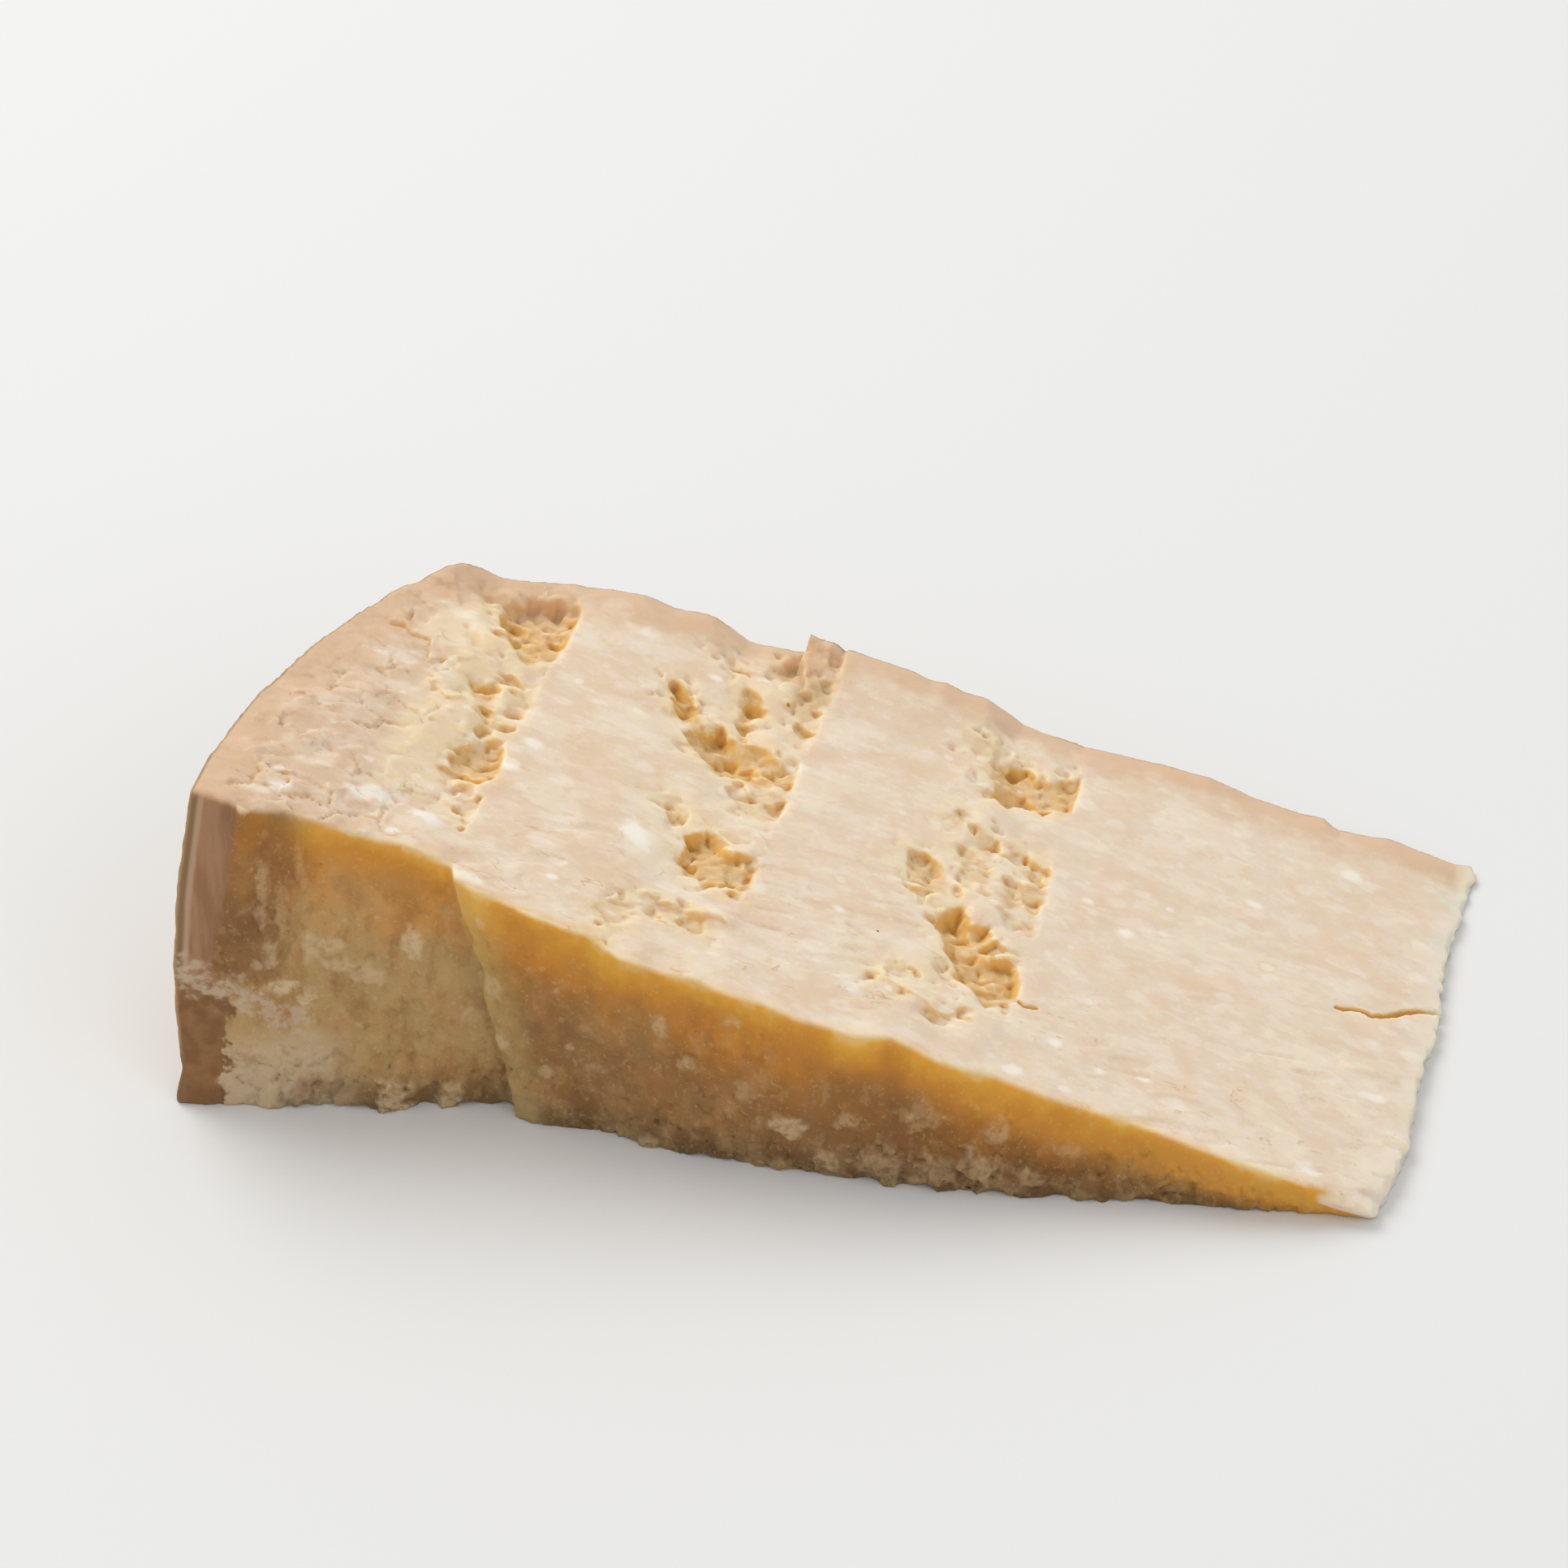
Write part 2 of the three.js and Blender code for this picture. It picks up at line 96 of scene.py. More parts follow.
# Torn pits of the upper cut face: greatest depth, and the outline at the surface.
PITS = [
    (5, [(-65.5, 35), (-61.5, 38), (-57.5, 40), (-53.5, 40), (-53, 35.5), (-54, 29.5), (-54.5, 23.5),
         (-58.5, 20.5), (-60.5, 22.5), (-64, 29.5)]),
    (2.4, [(-65.5, 9.5), (-61, 13), (-62, 6), (-61, 2.5), (-58.5, 2), (-59, 0), (-62, -3.5), (-63, 4.5)]),
    (0.9, [(-59, 10), (-56.5, 12), (-55, 9), (-55.5, 5), (-57.5, 4.5), (-59, 7)]),
    (3.2, [(-65, -11.5), (-60, -5.5), (-58.5, -6), (-58, -10), (-56.5, -13.5), (-57, -16), (-61.5, -18.5),
           (-63.5, -16)]),
    (1.6, [(-61.5, -20), (-60, -19.5), (-59, -24), (-59, -28.5), (-60.5, -26.5)]),
    (4, [(-34.5, 28.5), (-32, 26.5), (-30, 23.5), (-28.5, 20), (-28, 17), (-30, 17.5), (-33.5, 24)]),
    (4.8, [(-29.5, 16), (-27, 18), (-25, 21.5), (-23.5, 18.5), (-16.5, 17), (-13, 15), (-10.5, 11.5),
           (-11.5, 9), (-16, 7.5), (-20.5, 8), (-25.5, 10), (-28.5, 12.5)]),
    (3.5, [(-23, 34), (-21, 32), (-20, 29), (-21.5, 23), (-23, 24.5), (-22, 28)]),
    (1.6, [(-28, 41.5), (-26.5, 42.5), (-24.5, 40), (-24.5, 37.5), (-26, 38.5)]),
    (1.3, [(-19, 2), (-15, 5.5), (-11.5, 7), (-11, 4), (-12.5, -0.5), (-17, -1)]),
    (1.4, [(-30, -5), (-28, -4), (-27, -7.5), (-28, -9), (-29.5, -7.5)]),
    (4, [(-25, -12.5), (-22, -10), (-19, -12), (-17.5, -15), (-14.5, -14.5), (-12.5, -17), (-12.5, -20.5),
         (-15, -23.5), (-23, -22.5), (-24.5, -20), (-23.5, -17)]),
    (2, [(-18, 42), (-17, 46), (-15, 48.5), (-12.5, 48.5), (-9, 47.5), (-8, 43), (-8.5, 35.5), (-11.5, 35),
         (-14, 32), (-14, 39)]),
    (0.8, [(-13, 32.5), (-11, 34), (-10, 27), (-10, 23), (-11.5, 24.5)]),
    (3.6, [(21, 34), (23, 37), (25.5, 37.5), (28, 35), (31, 35), (35, 39), (36.5, 31), (34.5, 27.5),
           (31, 26), (25.5, 27), (24, 24), (22, 25)]),
    (0.7, [(17, 39.5), (19.5, 41.5), (20, 36.5), (17, 35.5)]),
    (1.5, [(15.5, 14.5), (16.5, 17.5), (18.5, 17.5), (18.5, 15), (17.5, 12), (16, 12)]),
    (1.6, [(20, 14.5), (23, 14), (24.5, 12), (23.5, 8.5), (21.5, 9.5)]),
    (2, [(18.5, 8), (20.5, 7.5), (24, 3), (23.5, 0), (21, -2.5), (19, -2), (20, 2)]),
    (2.1, [(27, 13), (29, 12), (30.5, 10), (33.5, 8.5), (33, 6.5), (30.5, 6), (28, 7.5)]),
    (2.6, [(27, 3), (30, 2.5), (33, 4.5), (34, 2.5), (33, -0.5), (30.5, -1.5), (29.5, -4.5), (28, -4)]),
    (1.6, [(30, -5), (32, -2.5), (33, -6), (33, -9.5), (31.5, -8.5)]),
    (2.8, [(11, 1.5), (13.5, 2), (15.5, 0), (17.5, -3), (17.5, -6), (15, -6), (12.5, -5), (11.5, -2)]),
    (5.2, [(18, -11.5), (20.5, -9.5), (21, -12), (23, -13.5), (25.5, -13), (27, -15.5), (27.5, -20),
           (25, -22.5), (23, -23), (20.5, -21), (18.5, -16)]),
    (4.6, [(22, -23), (25, -22.5), (27.5, -20), (31.5, -19), (32, -25.5), (33.5, -28.5), (31.5, -31),
           (28, -31.5), (26, -30), (22, -26)]),
    (1.2, [(11, -34), (13, -30.5), (15.5, -30), (16, -34), (14, -35.5)]),
    (1.2, [(20.5, -39.5), (22, -36), (24.5, -37), (22.5, -39)]),
    (0.6, [(-34, -46), (-33.5, -41), (-32, -36.5), (-30.5, -36), (-30, -40), (-31.5, -45)]),
    (0.8, [(-28, -33.5), (-26, -32.5), (-22.5, -34), (-19.5, -36), (-22, -36.5), (-26, -35.5)]),
]
# Slits in the crumbled part: depth, and the outline.
SLITS = [
    (1.4, [(-70.5, 36), (-69.5, 37), (-68, 34.5), (-68.5, 33.5)]),
    (1.6, [(-70.5, 25), (-69.5, 24.5), (-66.5, 19.5), (-67.5, 19), (-69, 21.5)]),
    (1.8, [(-65.5, 18), (-64.5, 19), (-61.5, 18), (-62, 16.5)]),
]
# The tip's front corner, chipped down to a low ledge.
CORNER_CHIP = (3, [(82.5, -58), (83.5, -53), (87, -51.8), (91, -50), (95, -47), (99, -47), (99, -58)])
# Edges of flakes on the upper cut face: how far the side to the left of the line stands out, over what
# distance that fades, and the line.
LEDGES = [
    (0.6, 9, [(-82, 18.7), (-79.2, 19.8), (-77.4, 17.6), (-75, 16.8), (-73.6, 12), (-71.3, 13.5),
              (-69.3, 13.6), (-66, 16.2), (-64.8, 17.4)]),
    (0.7, 6, [(-72.1, 5.8), (-70.2, 3.2), (-68.4, 1.6), (-67.2, 1.1), (-64.9, 3)]),
    (0.8, 5, [(-30.1, -32.8), (-25.4, -32), (-20.7, -33), (-14.7, -34.1), (-13, -34.9)]),
    (0.7, 6, [(10.3, -34.8), (12.2, -34.9), (14.8, -36.2), (18.5, -38.7), (21.3, -39), (24.7, -37.6),
              (28.3, -39.2)]),
    (0.8, 7, [(28, -4.5), (24.6, -5), (21.7, -4), (19.1, -5)]),
    (0.5, 2, [(-10.8, -12), (-12, -9), (-14.5, -6.1), (-18, -5.7)]),
    (0.4, 5, [(-90.6, -12.8), (-86.3, -10.8), (-84.6, -12.2)]),
    (0.5, 4, [(-87.2, -18.7), (-86.3, -21.2), (-83.8, -21.6)]),
    (0.3, 4, [(-83.3, -16.5), (-82.5, -18.9)]),
    (0.4, 5, [(-81.6, -33.7), (-78.2, -34.1)]),
    (0.6, 4, [(-74.3, -33.5), (-71.2, -32.6)]),
    (0.5, 4, [(-73.1, -35.9), (-70.4, -36)]),
    (0.3, 5, [(55.8, -41.9), (60.5, -41.2), (66.3, -39.6)]),
    (0.4, 6, [(86, -19), (92.6, -17.5), (96, -18.5)]),
]
# Open cracks in the upper cut face: depth, width, points.
CRACKS = [
    (1.5, 0.6, [(83.8, -2.9), (86.4, -1.9), (89.9, -1.6), (91.9, -0.8), (95.2, 2), (97.8, 3.7),
                (103, 5.6)]),
    (1.2, 0.5, [(33.3, -28.7), (34.3, -29.5), (36.7, -28.7)]),
    (0.5, 0.3, [(-82, 18.7), (-79.2, 19.8), (-77.4, 17.6), (-75, 16.8), (-73.6, 12)]),
]
# A chip out of the lower front edge: x, y, z, radius.
EDGE_CHIP = (12, -56, 0, 3)

# White spots on the upper cut face: x, y, half length, half width, turn in degrees.
WHITE_SPOTS = [
    (-53.1, -2.3, 1.8, 1.5, 0), (-32.4, -18, 4.2, 2.2, -50), (-54.4, -43.6, 3.4, 1.5, -10),
    (35.1, -47.4, 2.2, 1.6, 0), (-88, -35.1, 2.2, 1.8, 0), (-73.9, -29.5, 5, 2.6, 20),
    (-64.4, -31.6, 3, 1.8, -40), (83.2, -48.1, 2.2, 1.3, 0), (83.2, 35.6, 2, 1.6, 0),
    (67.8, 18.3, 1.5, 1.1, 0), (47.6, -1.6, 2.1, 1.5, 0), (-55, -10.9, 1.6, 1.3, 20),
    (40.7, 4.1, 1.2, 0.9, 0), (48.2, -40.4, 1.1, 1, 0), (55.4, -38.8, 1.2, 1, 0),
    (-42.9, -36.3, 1.2, 0.9, 0), (40.4, -36.8, 1.2, 1.1, 0), (92.4, -24, 2.4, 1.2, 10),
    (-28, 33, 1.4, 0.9, 0), (2, -20, 1, 0.8, 0), (-68.9, -38.2, 1.6, 1, 0),
]
# Yellow places of the crumbled part: x, y, half length, half width, turn in degrees.
YELLOW_PLACES = [(-67, 0, 30, 7.5, 80), (-70, 27, 11, 5.5, 70)]
# Dull brownish places of the upper cut face, given in the same way, and dark specks: place, radius, tone.
DULL_PLACES = [(-14.5, 44, 5.5, 5.5, 0), (-12, 37.5, 4, 4, 0), (-17, 46.5, 3, 3, 0)]
SPECKS = [
    ((-91.5, -19.5), 0.7, "745c4a"), ((-15, 48.8), 1.3, "764e30"),
    ((-15.1, 32.2), 0.5, "ba8252"), ((8.9, -22.6), 0.25, "6e543c"),
]
# Lumps on the split face: x, z, half width, half height, how far they stand out, how white they are.
FRONT_LUMPS = [
    (-65.4, 31.3, 1.8, 3.8, 0.5, 0.8), (-82.2, 21.1, 2.3, 2, 0.5, 0.7), (-68.3, 2.2, 3, 4.4, 1.2, 0.7),
    (-62.7, 1.5, 1.7, 3.4, -1, 0), (-59, 2, 2.2, 3.6, 0.7, 0.5), (-0.7, 9.1, 2.9, 2.6, 0.5, 0.7),
    (14.5, 3.2, 4.6, 4.4, 1.2, 0.3), (-22.8, 25.3, 1.3, 2.6, 0.2, 0.5), (-10.7, 27.6, 1.7, 1.4, 0.2, 0.5),
    (-18.1, 18.5, 1.5, 1.4, 0.2, 0.5), (24, 4.6, 3.4, 3.2, 0.8, 0.2), (-87.2, 22.5, 3.4, 1.3, 0.3, 0.9),
    (-61, 42, 2.4, 2.2, -0.5, 0), (9, 12, 2.6, 2, 0.5, 0.4), (20.5, 14, 3.6, 3, 0.5, 0.3),
    (-72, 24.5, 3.2, 1.6, 0.4, 0.5), (-24.8, 0.8, 2, 1.6, 0.9, 0.4), (5, 3, 1.8, 2.2, 0.6, 0.5),
    (-78.5, 30, 2.2, 1.6, 0.4, 0.6), (-76, 27, 3.4, 1.3, 0.4, 0.6), (-81.5, 29.5, 1.6, 2.6, 0.4, 0.6),
    (-89.5, 40, 1.2, 7, 0.9, 0.35), (-86.5, 35, 1.1, 5, 0.7, 0.25), (-83.5, 44, 1.2, 4, 0.6, 0.2),
    (-88, 29, 1.7, 3, 0.7, 0.4), (30, 5, 3.2, 3.6, 1, 0.4), (38.5, 4, 2.2, 2.2, 0.8, 0.3),
    (-51.5, 25.5, 2, 2.2, 0.3, 0.5), (-56, 17, 2.4, 1.8, 0.3, 0.3), (33, 12, 2, 2.6, 0.4, 0.4),
    (45, 9, 2.6, 1.4, 0.3, 0.3), (-8, 15, 2.2, 2, 0.3, 0.3), (-34, 13, 2.4, 1.6, 0.3, 0.3),
]
# Where the smooth end of the side rind stops on the split face: height, x.
RIND_END = [(0, -96.8), (12, -95.6), (19, -95), (22, -96.4), (25, -98.4), (38, -95.6), (56, -93), (60, -92.5)]

VOXEL = 0.45
GRID_LOW = (-106.5, -57.5, -1.2)
GRID_HIGH = (106.5, 54, 60)
TRIANGLES = 195000

FAR = 999.0
LEDGE_WIDTH = 0.25
LIP = 1.4
BACK_RIM = 2
MARK_WIDTH = 2.5
CRUMBLY_END = -66
PIT_MARGIN = 2.5
GREATEST_STEEPNESS = 2.5

# How far the edges are rounded, where two faces meet.
CORNER_ROUNDING = 5
FRONT_EDGE_ROUNDING = 0.9
TIP_ROUNDING = 0.5
RIND_EDGE_ROUNDING = 0.7
FOOT_ROUNDING = 0.35
PIT_RIM_ROUNDING = 1.2
PIT_FLOOR_ROUNDING = 1.8

# Over how many rounds of averaging the hollows are told from their surroundings.
SMALL_HOLLOW = 6
WIDE_HOLLOW = 40

HASH_PRIMES = (374761393, 668265263, 1103515245, 974634777)
HASH_FACTOR = np.uint32(1274126177)


# ---- noise ----

def lattice_value(i, j, k, seed):
    """A repeatable random number from 0 to 1 for each corner of a lattice."""
    total = sum(np.asarray(part, np.int64) * prime for part, prime in zip((i, j, k, seed), HASH_PRIMES))
    mixed = (np.atleast_1d(total) & 0xFFFFFFFF).astype(np.uint32)
    mixed = (mixed ^ (mixed >> np.uint32(13))) * HASH_FACTOR
    mixed = mixed ^ (mixed >> np.uint32(16))
    return mixed.astype(np.float64) / 4294967295.0


def noise(x, y, z, size, seed):
    """Smooth noise from -1 to 1."""
    places = [np.atleast_1d(part) / size for part in (x, y, z)]
    corners = [np.floor(part).astype(np.int64) for part in places]
    fades = [part - corner for part, corner in zip(places, corners)]
    fades = [fade * fade * (3 - 2 * fade) for fade in fades]
    total = 0.0
    for steps in np.ndindex(2, 2, 2):
        weight = 1.0
        for step, fade in zip(steps, fades):
            weight = weight * (fade if step else 1 - fade)
        total = total + weight * lattice_value(*(corner + step for corner, step in zip(corners, steps)), seed)
    return 2 * total - 1


def grid_noise(axes, size, seed):
    """The same noise at each point of a grid, given its three axes."""
    starts = []
    fades = []
    ranges = []
    for axis in axes:
        place = axis / size
        cell = np.floor(place).astype(np.int64)
        fade = place - cell
        starts.append(cell - cell.min())
        fades.append((fade * fade * (3 - 2 * fade)).astype(np.float32))
        ranges.append(np.arange(cell.min(), cell.max() + 2))
    i, j, k = np.meshgrid(*ranges, indexing="ij")
    values = (2 * lattice_value(i, j, k, seed) - 1).astype(np.float32)
    for n, (start, fade) in enumerate(zip(starts, fades)):
        shape = [1, 1, 1]
        shape[n] = -1
        fade = fade.reshape(shape)
        values = np.take(values, start, axis=n) * (1 - fade) + np.take(values, start + 1, axis=n) * fade
    return values


def cells(u, v, size, seed):
    """Distance from a cell's middle and from its border, and three random numbers, in a broken-up plane."""
    u, v = np.broadcast_arrays(u / size, v / size)
    column = np.floor(u).astype(np.int64)
    row = np.floor(v).astype(np.int64)
    nearest = np.full(u.shape, 9.0)
    second = np.full(u.shape, 9.0)
    tilt = np.zeros(u.shape)
    number = np.zeros(u.shape)
    for di in (-1, 0, 1):
        for dj in (-1, 0, 1):
            i = column + di
            j = row + dj
            du = i + 0.1 + 0.8 * lattice_value(i, j, 0, seed) - u
            dv = j + 0.1 + 0.8 * lattice_value(i, j, 1, seed) - v
            distance = np.hypot(du, dv)
            closer = distance < nearest
            second = np.where(closer, nearest, np.minimum(second, distance))
            angle = 2 * math.pi * lattice_value(i, j, 3, seed)
            tilt = np.where(closer, du * np.cos(angle) + dv * np.sin(angle), tilt)
            number = np.where(closer, lattice_value(i, j, 2, seed), number)
            nearest = np.where(closer, distance, nearest)
    return nearest, second - nearest, number, tilt


def lumps(x, y, z, size, seed):
    """How far each place lies from the middle of its lump, in sizes, in a solid packed with lumps."""
    x, y, z = np.broadcast_arrays(x / size, y / size, z / size)
    corner = [np.floor(part).astype(np.int64) for part in (x, y, z)]
    nearest = np.full(x.shape, 9.0)
    for di, dj, dk in np.ndindex(3, 3, 3):
        i, j, k = (part + step - 1 for part, step in zip(corner, (di, dj, dk)))
        du = i + 0.15 + 0.7 * lattice_value(i, j, k, seed) - x
        dv = j + 0.15 + 0.7 * lattice_value(i, j, k, seed + 1) - y
        dw = k + 0.15 + 0.7 * lattice_value(i, j, k, seed + 2) - z
        nearest = np.minimum(nearest, du * du + dv * dv + dw * dw)
    return np.sqrt(nearest)


def relief(kind, x, y, z, seed):
    size, height = kind
    return height * noise(x, y, z, size, seed)


def crags(x, y, z, seed):
    x, y, z = (np.asarray(part, np.float64) for part in (x, y, z))
    return relief(CRAG, x, y, z, seed) + relief(CRUMB, x, y, z, seed + 1)


def lerp(a, b, t):
    return a + (b - a) * t


def smoothstep(x, low, high):
    t = np.clip((x - low) / (high - low), 0, 1)
    return t * t * (3 - 2 * t)


def filled(x, y, value=0.0):
    """One value at each place that x and y give."""
    return np.full(np.broadcast(x, y).shape, value)


def along(points, x):
    places, values = zip(*points)
    return np.interp(x, places, values)


# ---- the faces, as in the CAD solid ----

def rind_x(y, z):
    radius = WHEEL_RADIUS - SIDE_CURVE * (y - FRONT_Y) ** 2 + relief(RIND_WAVE, 0, y, z, 11)
    return RIND_CENTRE[0] - np.sqrt(radius ** 2 - (z - RIND_CENTRE[1]) ** 2)


def tip_x(y, z):
    return along(TIP, y) + TIP_ROUGHNESS * crags(0, y, z, 21)


def back_y(x, z):
    beyond_flat = np.maximum(0, AXIS_X - x - FACE_FLAT_RADIUS)
    return FLAT_RIND_Y - FACE_CURVE * beyond_flat ** 2 + relief(RIND_WAVE, x, 0, z, 31)


def cut_plane_z(x):
    return WEDGE_SLOPE * (AXIS_X - x)


def step_x(z):
    """Where the right block of the split face begins at each height."""
    return lerp(STEP_FOOT_X, STEP_TOP[0], z / STEP_TOP[1])


def front_y(x, z):
    rise = np.clip(z / cut_plane_z(x), 0, 1)
    left = lerp(along(LEFT_FOOT, x), along(LEFT_TOP, x), rise)
    right = lerp(along(RIGHT_FOOT, x), along(RIGHT_TOP, x), rise)
    past_step = x - step_x(z) - 0.7 * noise(0, 0, z, 4.5, 106) - 0.25 * noise(0, 0, z, 1.4, 109)
    step = lerp(smoothstep(past_step, 0, STEP_WIDTH), smoothstep(past_step, 0, CHAMFER_WIDTH), CHAMFER_SHARE)
    return lerp(left, right, step) + FRONT_ROUGHNESS * crags(x, 0, z, 41)


def short_of(mark, x, y):
    """How far a point lies short of a knife mark, along X."""
    place, slant = mark
    return place + slant * y - x


def short_of_nearest(x, y):
    distance = filled(x, y, FAR)
    for mark in KNIFE_MARKS:
        short = short_of(mark, x, y)
        distance = np.where((short > 0) & (short < distance), short, distance)
    return distance


def broken(x, y):
    """1 in a broken band, just short of a knife mark, and 0 on a smooth strip."""
    width = BAND_WIDTH * (1 + 0.3 * noise(0, y, 0, 9, 51))
    short = short_of_nearest(x, y)
    return (1 - smoothstep(short, 0.6 * width, width)) * smoothstep(short, 0, MARK_WIDTH)


def near_rind(x):
    return 1 - smoothstep(x, *ROUGH_RIND_END)


def top_z(x, y):
    """The upper cut face, with its broken bands, its raised corner and the far edge's levels."""
    ragged = 1.8 * noise(x, y, 0, 3.5, 110) * smoothstep(FLAT_RIND_Y - y, 1, 6)
    level = along(FAR_EDGE_LEVELS, x + ragged) * smoothstep(y, FLAT_RIND_Y - LEVEL_REACH, FLAT_RIND_Y)
    corner_x, corner_y, corner_radius, corner_height = RAISED_CORNER
    from_corner = np.hypot(x - corner_x, y - corner_y) / corner_radius
    corner = corner_height * (1 - smoothstep(from_corner, 0, 1))
    roughness = lerp(CUT_ROUGHNESS, BROKEN_ROUGHNESS, np.maximum(broken(x, y), near_rind(x)))
    return np.maximum(cut_plane_z(x) + level + corner + roughness * crags(x, y, 0, 61), TIP_THICKNESS)


# ---- finer relief on each face ----

def beside_line(x, y, points):
    """Distance from a line through points, the place along it from 0 to 1, and 1 left of it or -1 right."""
    lengths = [math.dist(a, b) for a, b in zip(points, points[1:])]
    nearest = filled(x, y, FAR)
    place = np.zeros(nearest.shape)
    side = np.zeros(nearest.shape)
    done = 0.0
    for (ax, ay), (bx, by), length in zip(points, points[1:], lengths):
        t = np.clip(((x - ax) * (bx - ax) + (y - ay) * (by - ay)) / length ** 2, 0, 1)
        distance = np.hypot(x - lerp(ax, bx, t), y - lerp(ay, by, t))
        left = np.sign((bx - ax) * (y - ay) - (by - ay) * (x - ax))
        closer = distance < nearest
        place = np.where(closer, (done + t * length) / sum(lengths), place)
        side = np.where(closer, left, side)
        nearest = np.minimum(nearest, distance)
        done += length
    return nearest, place, side


def crumbly(x, y):
    """1 where the upper face is crumbled, near the side rind, and 0 elsewhere."""
    edge = CRUMBLY_END + 5 * noise(0, y, 0, 11, 71)
    return (1 - smoothstep(x, edge - 6, edge + 2)) * smoothstep(x, -101, -94)


def turned(x, y, centre, turn):
    """Places as seen from a centre, along and across a direction given in degrees."""
    angle = math.radians(turn)
    dx = x - centre[0]
    dy = y - centre[1]
    return dx * math.cos(angle) + dy * math.sin(angle), dy * math.cos(angle) - dx * math.sin(angle)


def inside_outline(x, y, points):
    """How far inside a closed outline each place lies, and below 0 outside it."""
    x, y = np.broadcast_arrays(x, y)
    closed = points + points[:1]
    inside = np.zeros(x.shape, bool)
    for (ax, ay), (bx, by) in zip(closed, closed[1:]):
        if ay != by:
            beside = x < ax + (bx - ax) * (y - ay) / (by - ay)
            inside ^= ((ay > y) != (by > y)) & beside
    distance = beside_line(x, y, closed)[0]
    return np.where(inside, distance, -distance)


def knife_mark_of(points):
    """The knife mark that a pit's outline ends at."""
    middle = np.mean(points, axis=0)
    return next(mark for mark in KNIFE_MARKS if short_of(mark, *middle) > 0)


def beyond_pits(x, y):
    """How far each place lies from the nearest pit, on the pit's side of the knife mark."""
    nearest = filled(x, y, FAR)
    for _, points in PITS:
        outside = np.where(short_of(knife_mark_of(points), x, y) > 0, -inside_outline(x, y, points), FAR)
        nearest = np.minimum(nearest, outside)
    return nearest


def golden(x, y):
    """1 in the deep pits, less in the shallow ones, and 0 outside them: the torn paste's own gold, with
    painted shade that grows with a pit's depth.
    """
    wander = 0.7 * noise(x, y, 0, 2.2, 111)
    amount = filled(x, y)
    for depth, points in PITS + SLITS:
        # Deeper pits get a larger share of the gold: painted shade.
        share = 0.35 + 0.65 * smoothstep(depth, 1.2, 4.2)
        cut_off = short_of(knife_mark_of(points), x, y) - 0.2
        inside = np.minimum(inside_outline(x, y, points) + wander, cut_off)
        amount = np.maximum(amount, share * smoothstep(inside, -1.4, -0.2))
    return amount


def ledges(x, y):
    """The height of the flakes' edges, each on one side of its line."""
    height = filled(x, y)
    wander = 0.5 * noise(x, y, 0, 1.7, 80)
    for rise, fade, points in LEDGES:
        distance, place, side = beside_line(x + wander, y + wander, points)
        ends = smoothstep(place, 0, 0.12) * (1 - smoothstep(place, 0.88, 1))
        edge = smoothstep(side * distance, -LEDGE_WIDTH, LEDGE_WIDTH)
        height = height + rise * ends * edge * (1 - smoothstep(distance, 0, fade))
    return height


def inside_ovals(x, y, ovals, wander=0.0, low=0.6, high=1.2):
    """1 inside the given ovals and 0 outside, with an edge from low to high of their size."""
    amount = filled(x, y)
    for px, py, rx, ry, turn in ovals:
        u, v = turned(x, y, (px, py), turn)
        amount = np.maximum(amount, 1 - smoothstep(np.hypot(u / rx, v / ry) + wander, low, high))
    return amount


def whiteness(x, y):
    """1 in the white spots of the upper cut face."""
    return inside_ovals(x, y, WHITE_SPOTS, 0.3 * noise(x, y, 0, 1.5, 97), low=0.4)


def cracks(x, y):
    """How deep the cracks are."""
    deepest = filled(x, y)
    wander = 0.5 * noise(x, y, 0, 1.7, 80)
    for depth, width, points in CRACKS:
        distance, place, _ = beside_line(x + wander, y + wander, points)
        half = 0.5 * width * np.clip(6 * (1 - place), 0.25, 1)
        deepest = np.maximum(deepest, depth * (1 - smoothstep(distance, 0.5 * half, half + 0.35)))
    return deepest


def scratches(x, y):
    """Thin hollows that the knife tore in the smooth strips, mostly near the split face."""
    bent = y - 0.25 * x + 0.8 * noise(x, y, 0, 9, 117)
    flecks = smoothstep(noise(x / 7.5, bent / 1.6, 0, 1, 118), 0.25, 0.35)
    where = smoothstep(noise(x, y, 0, 13, 119), -0.25, 0.25) * smoothstep(-y, -12, 18)
    smooth = 1 - np.maximum(broken(x, y), crumbly(x, y))
    return -0.28 * flecks * where * smooth


